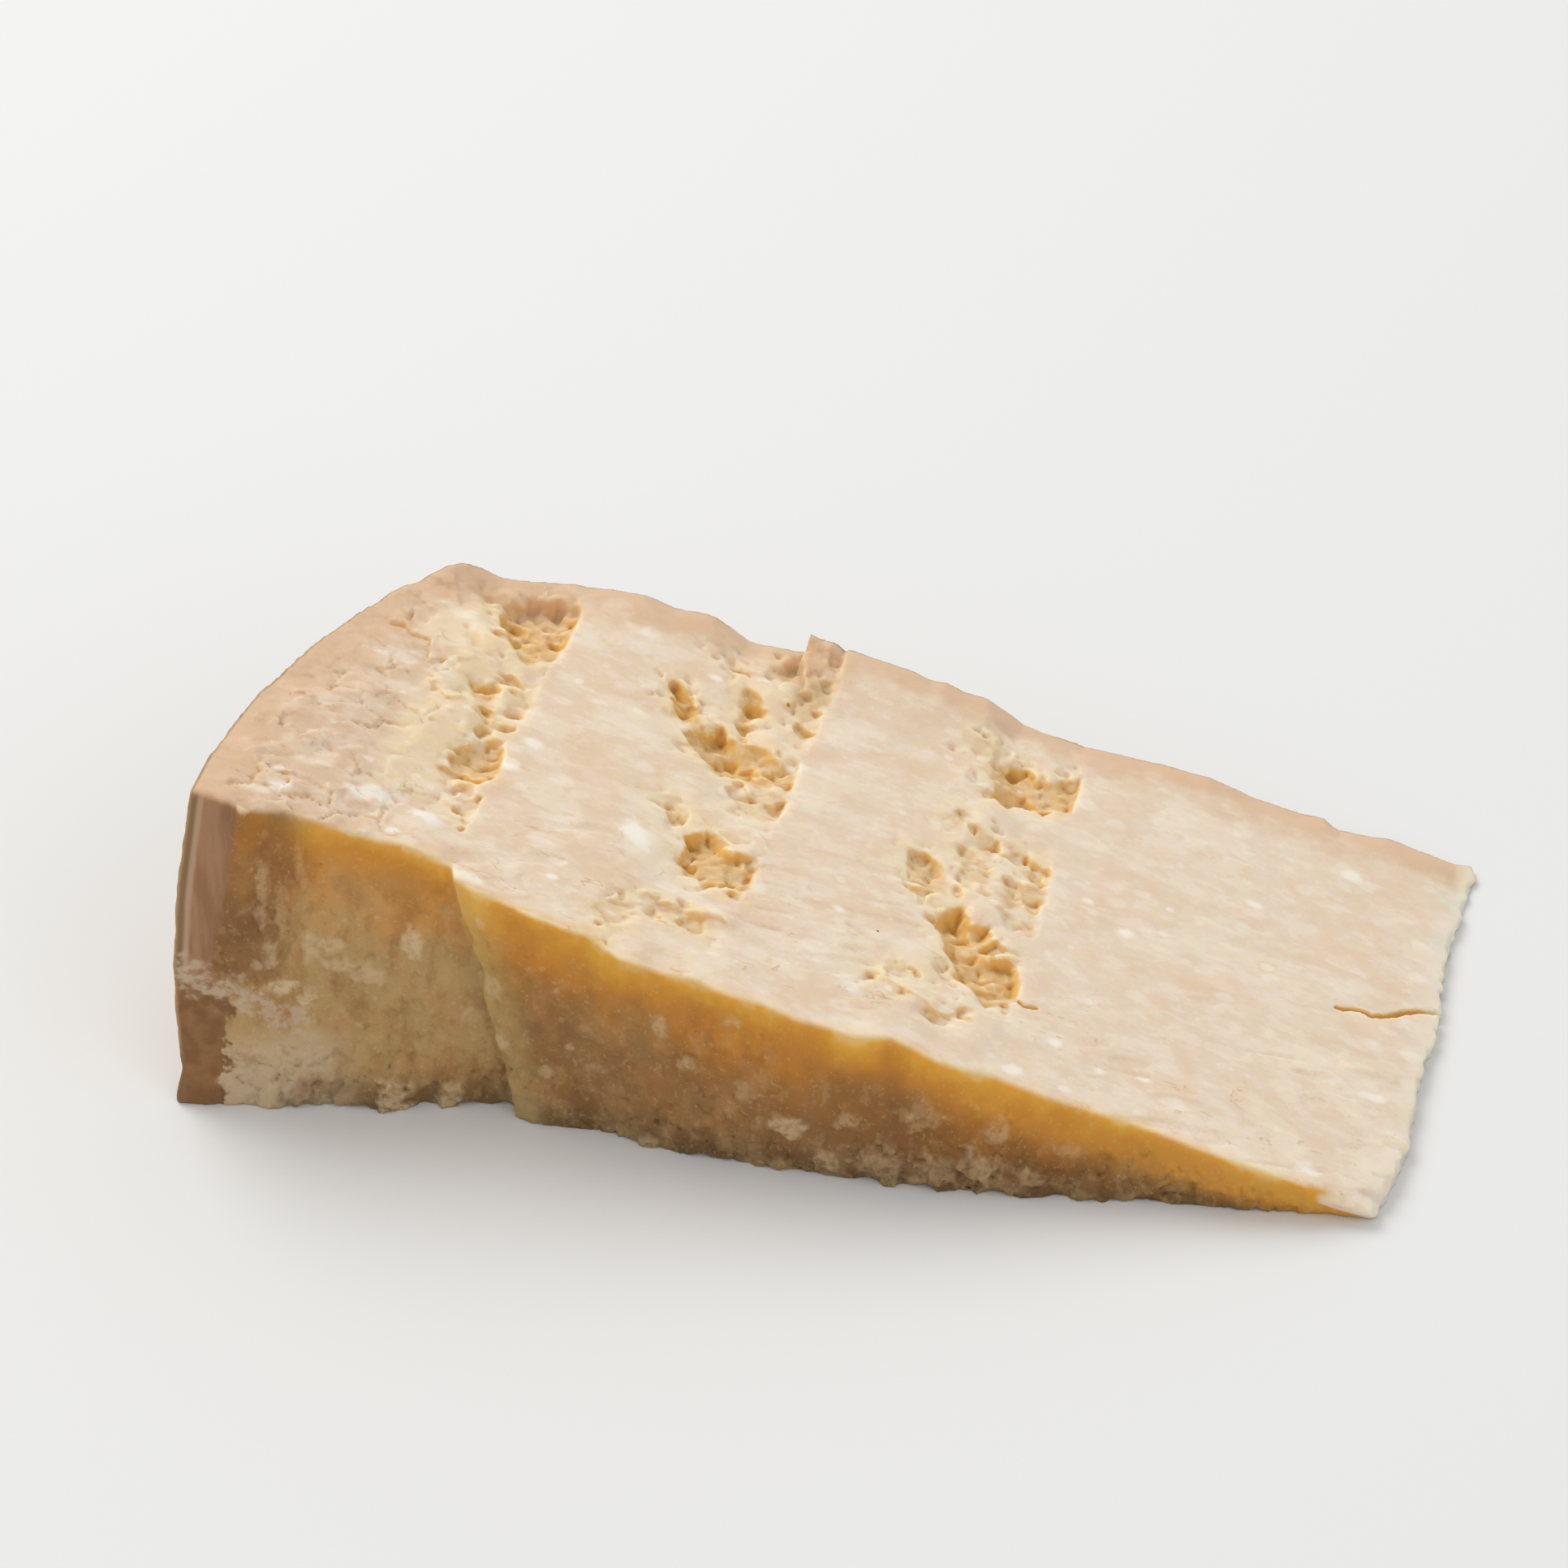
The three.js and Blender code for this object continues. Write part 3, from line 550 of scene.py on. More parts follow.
def upper_relief(x, y):
    """What the upper cut face has on top of the CAD solid's form."""
    band = broken(x, y)
    open_part = 1 - smoothstep(beyond_pits(x, y) + 1.6 * noise(x, y, 0, 2.5, 112), 0.5, 5.0)
    flaky = crumbly(x, y) * (1 - open_part)
    warp_x = x + 1.1 * noise(x, y, 0, 3.1, 72) + 0.5 * noise(x, y, 0, 1.2, 98)
    warp_y = y + 1.1 * noise(x / 3.1, y / 3.1, 5, 1, 73) + 0.5 * noise(x / 1.2, y / 1.2, 5, 1, 99)
    middle, border, number, tilt = cells(warp_x * 0.7, warp_y, 5.0, 74)
    flakes = 0.28 * (number - 0.5) + 0.26 * tilt
    hairlines = 0.6 * (1 - smoothstep(border, 0, 0.12)) * smoothstep(noise(x, y, 0, 6, 115), -0.1, 0.3)
    middle, border, number, tilt = cells(warp_x * 0.8, warp_y, 2.3, 75)
    small_flakes = 0.14 * (number - 0.5) + 0.12 * tilt
    grains = 0.45 * (number - 0.5) + 0.35 * (0.6 - middle) + 0.2 * tilt
    skin = 0.08 * noise(x / 5, y / 3, 0, 1, 78) + 0.05 * noise(x / 2.0, y / 1.3, 0, 1, 79)
    skin = skin + 0.08 * flaky * noise(x, y, 0, 0.9, 77)
    nick = along(EDGE_NICKS, x + 0.6 * noise(x, y, 0, 2, 116))
    skin = skin + nick * smoothstep(back_y(x, 20) - y, NICK_REACH, 0) + scratches(x, y)
    height = skin + 0.12 * whiteness(x, y) + (0.15 * band + 1.5 * flaky) * (flakes + small_flakes)
    inland = smoothstep(back_y(x, 30) - y, 3, 9) * smoothstep(x - rind_x(y, 50), 3, 8)
    height = height - flaky * hairlines * inland
    open_part = open_part * smoothstep(short_of_nearest(x, y), 0, 1)
    grains = grains - 0.9 * smoothstep(noise(warp_x, warp_y, 0, 2.4, 113), 0.1, 0.6)
    return height + 1.2 * open_part * (grains - 0.25) + ledges(x, y) - cracks(x, y)


def front_lumps(x, z):
    """How far the lumps of the split face stand out, and how white they are."""
    wander = 0.4 * noise(x, 0, z, 1.8, 101) + 0.3 * noise(x, 0, z, 0.8, 120)
    height = filled(x, z)
    white = np.zeros(height.shape)
    for px, pz, rx, rz, stand, paleness in FRONT_LUMPS:
        inside = 1 - smoothstep(np.hypot((x - px) / rx, (z - pz) / rz) + wander, 0.55, 1.15)
        height = height + stand * inside
        white = np.maximum(white, paleness * inside)
    return height, white


def front_relief(x, z):
    """Crumbled grain on the split face, and the smooth streaked end at the rind."""
    warp_x = x + 0.9 * noise(x, 0, z, 2.4, 81) + 0.4 * noise(x, 0, z, 1, 107)
    warp_z = z + 0.9 * noise(x / 2.4, 5, z / 2.4, 1, 82) + 0.4 * noise(x, 5, z, 1, 108)
    middle, border, number, tilt = cells(warp_x, warp_z, 4.6, 83)
    crevice = 1 - smoothstep(border, 0, 0.22)
    coarse = 0.9 * (number - 0.5) + 0.4 * (0.5 - middle) - 0.35 * crevice
    middle, border, number, tilt = cells(warp_x, warp_z, 1.7, 84)
    fine = 0.35 * (number - 0.5) + 0.3 * (0.6 - middle) + 0.2 * tilt
    specks = 0.25 * smoothstep(noise(x, 0, z, 0.8, 85), 0.35, 0.8)
    patches = smoothstep(noise(x, 0, z, 11, 102), -0.25, 0.35)
    foot = 1 - smoothstep(z, 5, 16)
    under_edge = smoothstep(cut_plane_z(x) - z, 2, 11)
    lumpy = np.clip(0.4 * patches + 0.6 * foot, 0, 1) * under_edge
    grainy = (0.35 + 0.65 * patches) * smoothstep(cut_plane_z(x) - z, 1, 7)
    past_end = smoothstep(x, along(RIND_END, z) - 0.4, along(RIND_END, z) + 0.8)
    beside_rind = smoothstep(x, along(RIND_END, z) + 9, along(RIND_END, z) + 4) * smoothstep(z, 18, 26)
    ridges = 0.9 * beside_rind * noise(warp_x / 2.2, 0, warp_z / 9, 1, 114)
    grooves = 0.15 * noise(x / 1.1, 0, z / 14, 1, 86) - 0.5
    broken_part = lumpy * coarse + grainy * (fine + specks) + ridges + front_lumps(x, z)[0]
    return broken_part * past_end + grooves * (1 - past_end)


def rind_lip(y, z):
    """How far the rind's lower front corner stands out."""
    return LIP * (1 - smoothstep(z, 0.5, 7)) * (1 - smoothstep(y, FRONT_Y, FRONT_Y + 14))


def rind_grain(u, v, seed):
    return 0.12 * noise(u / 7, v / 2.2, 0, 1, seed) + 0.06 * noise(u, v, 0, 1.4, seed + 1)


def under_relief(x, y):
    """Shallow nicks in the lower cut face, which otherwise lies flat."""
    nicks = 1.6 * smoothstep(noise(x / 5.5, y / 4.2, 0, 1, 91), 0.5, 0.85)
    small = 0.7 * smoothstep(noise(x, y, 0, 2.2, 92), 0.55, 0.85)
    return nicks + small * smoothstep(noise(x, y, 0, 16, 93), -0.1, 0.3)


# ---- the solid as a field, negative inside ----

def smooth_max(a, b, radius):
    return np.maximum(a, b) + np.maximum(radius - np.abs(a - b), 0) ** 2 / (4 * radius)


def smooth_min(a, b, radius):
    return -smooth_max(-a, -b, radius)


def window(axes, centre, reach):
    """The part of the grid within reach of a place."""
    slices = []
    for axis, middle in zip(axes, centre):
        low, high = np.searchsorted(axis, (middle - reach, middle + reach))
        slices.append(slice(int(low), int(high)))
    near = [axis[part] for axis, part in zip(axes, slices)]
    return tuple(slices), near


def spread(axes):
    """The axes of a grid, each laid along its own direction."""
    return [axis.reshape(shape) for axis, shape in zip(axes, ((-1, 1, 1), (1, -1, 1), (1, 1, -1)))]


def dig_pits(field, axes, surface):
    """Torn hollows with lumpy walls and floors, each in its own part of the grid."""
    for seed, (depth, points) in enumerate(PITS + SLITS + [CORNER_CHIP], 100):
        low = np.min(points, axis=0)
        high = np.max(points, axis=0)
        middle = (low + high) / 2
        half = (high - low) / 2
        part, near = window(axes, (*middle, float(top_z(*middle)[0])), max(half) + PIT_MARGIN)
        x, y, z = spread(near)
        coarse = grid_noise(near, 3.6, seed)
        fine = grid_noise(near, 1.3, seed + 200)
        sway = grid_noise(near, 2.8, seed + 600)
        bumps = 0.55 - 0.9 * lumps(x + 0.6 * fine, y + 0.8 * sway, z, 2.6, seed) ** 2
        below = surface[part[0], part[1]] - z
        # The wall is steepest and the floor deepest to the left and at the back.
        across = np.clip((0.8 * (x - middle[0]) - 0.6 * (y - middle[1])) / max(half), -1, 1)
        wall = inside_outline(x[:, :, 0], y[:, :, 0], points)[:, :, None] - (0.35 + 0.2 * across) * below
        wall = wall + 0.6 + 0.7 * coarse + 0.4 * fine + 0.4 * sway
        floor = depth * (0.46 - 0.26 * across) + 0.12 * depth * coarse + 0.3 * fine - below
        open_space = smooth_min(wall, floor, PIT_FLOOR_ROUNDING) - (0.25 + 0.08 * depth) * bumps
        open_space = np.minimum(open_space, FLAT_RIND_Y - BACK_RIM - y)
        if points != CORNER_CHIP[1]:
            open_space = np.minimum(open_space, short_of(knife_mark_of(points), x, y))
        field[part] = smooth_max(field[part], open_space, PIT_RIM_ROUNDING)


def cheese_field(axes):
    """The whole chunk: its six faces, joined with rounded edges, and the pits."""
    x, y, z = spread(axes)
    surface = top_z(x, y) + upper_relief(x, y)
    slope_x, slope_y = np.gradient(surface[:, :, 0], VOXEL)
    steepness = np.sqrt(1 + slope_x ** 2 + slope_y ** 2)[:, :, None]
    top = ((z - surface) / np.minimum(steepness, GREATEST_STEEPNESS)).astype(np.float32)
    front = (front_y(x, z) - front_relief(x, z) - y).astype(np.float32)
    back = (y - back_y(x, z) - rind_grain(x, z, 87)).astype(np.float32)
    side = (rind_x(y, z) - rind_lip(y, z) + rind_grain(y, z, 89) - x).astype(np.float32)
    tip = (x - tip_x(y, z) - 0.5 * noise(0, y / 1.6, z / 1.1, 1, 88)).astype(np.float32)

    rough = np.maximum(1 - smoothstep(beyond_pits(x, y), 0.2, 1.6), 0.25 * crumbly(x, y))
    near_front = (1 - smoothstep(-front, 1.0, 4.0)) * smoothstep(-top, 0.5, 6)
    strength = (0.03 + 0.25 * np.maximum(rough, 0.6 * near_front)).astype(np.float32)
    outer = smooth_max(back, side, CORNER_ROUNDING)
    field = smooth_max(top, front, FRONT_EDGE_ROUNDING)
    field = field + strength * (grid_noise(axes, 2.3, 94) + 0.5 * grid_noise(axes, 1.2, 95))
    field = smooth_max(field, tip, TIP_ROUNDING)
    field = smooth_max(field, outer, RIND_EDGE_ROUNDING)
    dig_pits(field, axes, surface)
    chip_x, chip_y, chip_z, radius = EDGE_CHIP
    distance = np.sqrt((x - chip_x) ** 2 + (y - chip_y) ** 2 + (z - chip_z) ** 2)
    field = smooth_max(field, radius - distance, TIP_ROUNDING)
    return smooth_max(field, under_relief(x, y) - z, FOOT_ROUNDING).astype(np.float32)


# ---- from the field to a mesh ----

def surface_net(field, axes):
    """Quads through the cells that the surface crosses, with each corner at the middle of its crossings."""
    inside = field < 0
    counts = np.zeros([n - 1 for n in field.shape], np.uint8)
    corners = list(np.ndindex(2, 2, 2))
    shape = counts.shape
    for i, j, k in corners:
        counts += inside[i:i + shape[0], j:j + shape[1], k:k + shape[2]]
    crossed = np.argwhere((counts > 0) & (counts < 8))
    total = np.zeros(crossed.shape)
    number = np.zeros(len(crossed))
    for start in corners:
        for axis in range(3):
            if start[axis]:
                continue
            end = np.add(start, np.eye(3, dtype=int)[axis])
            a = field[tuple((crossed + start).T)]
            b = field[tuple((crossed + end).T)]
            cut = (a < 0) != (b < 0)
            t = np.where(cut, a / np.where(cut, a - b, 1), 0)
            place = np.repeat(np.array([start], float), len(crossed), axis=0)
            place[:, axis] += t
            total += place * cut[:, None]
            number += cut
    places = (crossed + total / number[:, None]) * VOXEL + np.array([axis[0] for axis in axes])
    index = np.full(shape, -1, np.int64)
    index[tuple(crossed.T)] = np.arange(len(crossed))
    quads = []
    for axis in range(3):
        one, two = [n for n in range(3) if n != axis]
        step = np.eye(3, dtype=int)
        low = [slice(None)] * 3
        high = [slice(None)] * 3
        low[axis] = slice(None, -1)
        high[axis] = slice(1, None)
        edge = np.argwhere(inside[tuple(low)] != inside[tuple(high)])
        edge = edge[(edge[:, one] > 0) & (edge[:, two] > 0)]
        offsets = (0, step[one], step[one] + step[two], step[two])
        ring = np.stack([index[tuple((edge - offset).T)] for offset in offsets], axis=1)
        outward = inside[tuple(edge.T)] ^ (axis == 1)
        quads.append(np.where(outward[:, None], ring, ring[:, ::-1]))
    return places, np.concatenate(quads)


def add_object(name, data):
    piece = bpy.data.objects.new(name, data)
    bpy.context.collection.objects.link(piece)
    return piece


def mesh_from(name, places, faces):
    mesh = bpy.data.meshes.new(name)
    mesh.from_pydata(places, [], faces)
    mesh.validate()
    return mesh


def with_modifier_applied(piece, kind, **settings):
    modifier = piece.modifiers.new(kind, kind)
    for name, value in settings.items():
        setattr(modifier, name, value)
    depsgraph = bpy.context.evaluated_depsgraph_get()
    mesh = bpy.data.meshes.new_from_object(piece.evaluated_get(depsgraph))
    piece.modifiers.clear()
    old = piece.data
    piece.data = mesh
    bpy.data.meshes.remove(old)


def read(items, name, width=1, kind=float):
    """One property of each of a mesh's items."""
    values = np.empty((len(items), width), kind)
    items.foreach_get(name, values.ravel())
    return values


def smoothed(mesh, values, rounds):
    """Values on the mesh's corners, averaged with their neighbours round after round."""
    a, b = read(mesh.edges, "vertices", 2, np.int64).T
    degree = np.bincount(a, minlength=len(values)) + np.bincount(b, minlength=len(values))
    for _ in range(rounds):
        total = np.bincount(a, values[b], len(values)) + np.bincount(b, values[a], len(values))
        values = 0.5 * values + 0.5 * total / degree
    return values


def facing(mesh):
    """The direction that each corner faces, with the large faces around it counting for more."""
    weighted = read(mesh.polygons, "normal", 3) * read(mesh.polygons, "area")
    weighted = np.repeat(weighted, read(mesh.polygons, "loop_total", 1, np.int64)[:, 0], axis=0)
    corners = read(mesh.loops, "vertex_index", 1, np.int64)[:, 0]
    total = np.stack([np.bincount(corners, part, len(mesh.vertices)) for part in weighted.T], axis=1)
    return total / np.maximum(np.linalg.norm(total, axis=1, keepdims=True), 1e-12)


def hollowness(mesh, places, normals, rounds):
    """How far each corner lies under the average of its surroundings, in mm."""
    average = np.stack([smoothed(mesh, places[:, n], rounds) for n in range(3)], axis=1)
    return np.sum((average - places) * normals, axis=1)


def mark_surface(mesh):
    """What the materials need to know about each corner of the surface."""
    places = read(mesh.vertices, "co", 3) / MM + np.array([*FOOTPRINT_MIDDLE, 0])
    x, y, z = places.T
    from_back = back_y(x, z) - y
    from_side = x - rind_x(y, z)
    under_top = top_z(x, y) - z
    normals = facing(mesh)
    mesh.normals_split_custom_set_from_vertices(normals.tolist())
    cut_normal = np.array([WEDGE_SLOPE, 0, 1]) / math.hypot(WEDGE_SLOPE, 1)
    marks = {
        "from_flat_rind": from_back,
        "from_side_rind": from_side,
        "from_crust": -smooth_max(-from_back, -from_side, CORNER_ROUNDING),
        "from_front": y - front_y(x, z),
        "from_tip": tip_x(y, z) - x,
        "from_pits": beyond_pits(x, y),
        "under_top": under_top,
        "height": z,
        "past_step": x - step_x(z),
        "rind_end": x - along(RIND_END, z),
        "chip": inside_outline(x, y, CORNER_CHIP[1]),
        "crumbly": crumbly(x, y),
        "golden": golden(x, y),
        "yellow": inside_ovals(x, y, YELLOW_PLACES, 0.35 * noise(x, y, 0, 6, 103)),
        "dull": inside_ovals(x, y, DULL_PLACES),
        "white": np.where(under_top < 2, whiteness(x, y), 0),
        "front_white": front_lumps(x, z)[1],
        "crack": cracks(x, y),
        "steep": 1 - normals @ cut_normal,
        "hollow": hollowness(mesh, places, normals, SMALL_HOLLOW),
        "hollow_wide": hollowness(mesh, places, normals, WIDE_HOLLOW),
    }
    for name, values in marks.items():
        attribute = mesh.attributes.new(name, "FLOAT", "POINT")
        attribute.data.foreach_set("value", np.broadcast_to(values, len(x)).astype(np.float32))


def make_chunk():
    axes = [np.arange(low, high, VOXEL) for low, high in zip(GRID_LOW, GRID_HIGH)]
    places, quads = surface_net(cheese_field(axes), axes)
    places = (places - np.array([*FOOTPRINT_MIDDLE, 0])) * MM
    piece = add_object("parmesan_body", mesh_from("parmesan_body", places.tolist(), quads.tolist()))
    with_modifier_applied(piece, "DECIMATE", ratio=TRIANGLES / (2 * len(quads)))
    piece.data.polygons.foreach_set("use_smooth", np.ones(len(piece.data.polygons), bool))
    mark_surface(piece.data)
    return piece


# ---- materials ----

# How far red, green and blue light go into the paste, as shares of a depth, and how much the paste shines.
LIGHT_REACH = (0.85, 0.5, 0.2)
LIGHT_DEPTH = 4
SHINE = 0.22


def colour(tone):
    """A linear colour, from the red, green and blue that a screen shows, in two hexadecimal digits each."""
    parts = [part / 255 for part in bytes.fromhex(tone)]
    return [part / 12.92 if part <= 0.04045 else ((part + 0.055) / 1.055) ** 2.4 for part in parts] + [1]


class Nodes:
    """The shader nodes of a material.

    A text in place of a value stands for the mesh attribute of that name, and in place of a tone for the
    colour that a screen shows.
    """

    def __init__(self, material):
        material.use_nodes = True
        self.tree = material.node_tree
        self.tree.nodes.clear()

    def add(self, kind, inputs=(), **settings):
        node = self.tree.nodes.new("ShaderNode" + kind)
        for name, value in settings.items():
            setattr(node, name, value)
        for name, value in dict(inputs).items():
            self.feed(node.inputs[name], value)
        return node

    def feed(self, socket, value):
        if isinstance(value, str):
            value = self.add("Attribute", attribute_name=value).outputs["Fac"]
        if isinstance(value, bpy.types.NodeSocket):
            self.tree.links.new(value, socket)
        else:
            socket.default_value = value

    def math(self, operation, *values):
        return self.add("Math", enumerate(values), operation=operation).outputs[0]

    def vector(self, operation, *values):
        return self.add("VectorMath", enumerate(values), operation=operation)

    def without(self, value):
        """What a value leaves of 1."""
        return self.math("SUBTRACT", 1, value)

    def times(self, first, *others):
        for other in others:
            first = self.math("MULTIPLY", first, other)
        return first

    def most(self, first, *others):
        for other in others:
            first = self.math("MAXIMUM", first, other)
        return first

    def span(self, value, low, high, start=0, end=1):
        """A smooth change from start to end as the value goes from low to high."""
        inputs = {"Value": value, "From Min": low, "From Max": high, "To Min": start, "To Max": end}
        return self.add("MapRange", inputs, interpolation_type="SMOOTHSTEP").outputs["Result"]

    def coats(self, tone, *coats):
        """A tone with other tones laid over it, each by its own amount."""
        for amount, over in coats:
            pair = [colour(part) if isinstance(part, str) else part for part in (tone, over)]
            mix = self.add("Mix", {"Factor": amount}, data_type="RGBA")
            self.feed(mix.inputs[6], pair[0])
            self.feed(mix.inputs[7], pair[1])
            tone = mix.outputs[2]
        return tone

    def ramp(self, value, stops):
        """Tones at given places from 0 to 1, with even changes between them."""
        node = self.add("ValToRGB", {"Fac": value})
        elements = node.color_ramp.elements
        while len(elements) < len(stops):
            elements.new(0.5)
        for element, place in zip(elements, stops):
            element.position = place
        for element, tone in zip(elements, stops.values()):
            element.color = colour(tone)
        return node.outputs["Color"]

    def places(self, stretch=(1, 1, 1)):
        """Places on the object in millimetres, divided by a stretch each way."""
        scale = [1 / (MM * part) for part in stretch]
        object_places = self.add("TexCoord").outputs["Object"]
        return self.add("Mapping", {"Scale": scale, "Vector": object_places}).outputs["Vector"]

    def along_x(self):
        """How far a place is along the wedge, in millimetres."""
        return self.add("SeparateXYZ", {"Vector": self.places()}).outputs["X"]

    def near(self, place, radius):
        """1 close to a place on the upper cut face and 0 beyond the radius."""
        x, y = place
        middle = (x - FOOTPRINT_MIDDLE[0], y - FOOTPRINT_MIDDLE[1], cut_plane_z(x))
        distance = self.vector("DISTANCE", self.places(), middle).outputs["Value"]
        ragged = self.math("MULTIPLY_ADD", self.cloud(0.8, detail=2), radius, distance)
        return self.span(ragged, 1.7 * radius, 1.2 * radius)

    def cloud(self, size, stretch=(1, 1, 1), detail=3.0, roughness=0.55):
        inputs = {"Vector": self.places(stretch), "Scale": 1 / size, "Detail": detail, "Roughness": roughness}
        return self.add("TexNoise", inputs).outputs["Fac"]

    def ragged(self, value, size, reach, detail=4):
        """A value that wanders up and down by up to the reach, over places of a size."""
        return self.math("ADD", value, self.span(self.cloud(size, detail=detail), 0.3, 0.7, -reach, reach))

    def spots(self, size, share, low, high, stretch=(1, 1, 1)):
        """Soft round spots a given distance apart, on a share of the places, low to high in radius."""
        places = self.places(stretch)
        warp = self.add("TexNoise", {"Vector": places, "Scale": 0.5, "Detail": 2}).outputs["Color"]
        wobble = self.vector("SUBTRACT", warp, (0.5, 0.5, 0.5)).outputs[0]
        moved = self.vector("MULTIPLY_ADD", wobble, (1.2, 1.2, 1.2), places).outputs[0]
        voronoi = self.add("TexVoronoi", {"Vector": moved, "Scale": 1 / size}).outputs
        random = self.add("SeparateColor", {"Color": voronoi["Color"]}).outputs
        radius = self.span(random["Red"], 0.0, 1.0, low / size, high / size)
        body = self.without(self.math("DIVIDE", voronoi["Distance"], radius))
        return self.times(self.span(body, 0.0, 0.45), self.math("LESS_THAN", random["Green"], share))

    def surface(self, inputs):
        shader = self.add("BsdfPrincipled", inputs)
        self.add("OutputMaterial", {"Surface": shader.outputs["BSDF"]})


def upper_paste(nodes):
    """The cream paste of the cut faces, with pits, flakes and white spots."""
    span, cloud, times, most = nodes.span, nodes.cloud, nodes.times, nodes.most
    flecks = cloud(5, (1.5, 1, 1.3), 6, 0.6)
    small_flecks = cloud(1.8, (1.3, 1, 1.2), 5)
    smears = cloud(10, (1.7, 1, 1), 6, 0.6)
    # Near the pits and in the middle of the crumbled part the paste is yellower.
    yellow = times(most(span("from_pits", 6, 1, 0, 0.8), "yellow"), span(flecks, 0.35, 0.6, 0.7, 0.35))
    greyish = times("crumbly", span(cloud(4, (1.6, 1, 1)), 0.4, 0.62, 0.9, 0.2), span("yellow", 0, 1, 1, 0.2))
    # Pits are golden at their walls and in their creases, and ridges are paler: the gold is partly the torn
    # paste's own tone and partly painted shade, more of it in deeper pits and deep in hollows, and the paler
    # ridges are a painted highlight.
    inner = times(span("from_front", 2, 4), span("height", 0.4, 1))
    pit = times("golden", span("under_top", 0.15, 0.8), inner)
    patches = cloud(2.6, detail=4)
    # The pit floor: peach with patches, and painted shade in darker orange where it lies deep in a hollow.
    floor = nodes.coats("debb8b", (span(patches, 0.4, 0.6), "d9ae70"),
                        (span("hollow_wide", 0.15, 0.85), "c78e3e"))
    inland = times(most(pit, span("from_flat_rind", 8, 14)), inner, span("from_tip", 2, 4))
    # Steep walls turn golden, partly the torn paste's own tone and partly painted shade.
    wall = times(span("steep", 0.06, 0.45), inland, span(patches, 0.3, 0.5, 0.6, 0.9))
    wall = times(wall, span("golden", 0, 0.9, 0.65, 1))
    # White spots of three sizes, pale scratches, and thin tears near the split face.
    spots = times(nodes.spots(10, 0.45, 0.9, 2, (1.3, 1, 1)), 0.65)
    spots = most(spots, times(nodes.spots(4.6, 0.5, 0.4, 1), 0.35))
    spots = most(spots, times(nodes.spots(5.5, 0.6, 1, 2.2, (1.4, 1, 1.2)), 0.4))
    scratches = times(span(cloud(2.2, (3, 1, 1), 5, 0.6), 0.57, 0.62, 0, 0.25), span(cloud(9), 0.46, 0.56))
    bend = nodes.math("ABSOLUTE", nodes.math("SUBTRACT", cloud(6, (2.5, 1, 1)), 0.5))
    tears = times(span(bend, 0.012, 0.003, 0, 0.5), span(cloud(6, detail=4), 0.53, 0.6))
    return nodes.coats(
        "e7d1b7",
        (span(cloud(13, detail=4), 0.35, 0.7), "e4c9aa"),
        (span("from_tip", 150, 20, 0, 0.5), "e8d6c1"),
        (span(flecks, 0.49, 0.6, 0, 0.38), "f4e6d4"),
        (span(flecks, 0.47, 0.36, 0, 0.32), "e2c6a4"),
        (span(small_flecks, 0.52, 0.66, 0, 0.15), "f6eada"),
        (span(small_flecks, 0.44, 0.3, 0, 0.15), "e0c09a"),
        (span(smears, 0.53, 0.57, 0, 0.35), "f2e4cd"),
        (span(smears, 0.45, 0.4, 0, 0.35), "e5c5a5"),
        (yellow, "f1daac"),
        (greyish, "d9b99a"),
        (times(pit, 0.95), floor),
        (wall, "e5b55e"),
        # Painted shade in creases, in gold, and a painted highlight on ridges, in paler cream.
        (span("hollow", 0.04, 0.35, 0, 0.6), "d0963e"),
        (span("hollow", -0.04, -0.3, 0, 0.4), "f4e5c8"),
        (times(spots, 0.75), "f9f0e2"),
        (times("white", 0.8), "f7efe2"),
        (times(scratches, span("crumbly", 0.3, 0)), "f6ebd8"),
        (times(tears, span("from_front", 45, 12)), "cc9e70"),
        (times("dull", 0.6), "ccac80"),
        (span("crack", 0.15, 0.7, 0, 0.8), "d4a442"),
        *((nodes.near(place, radius), tone) for place, radius, tone in SPECKS),
    )


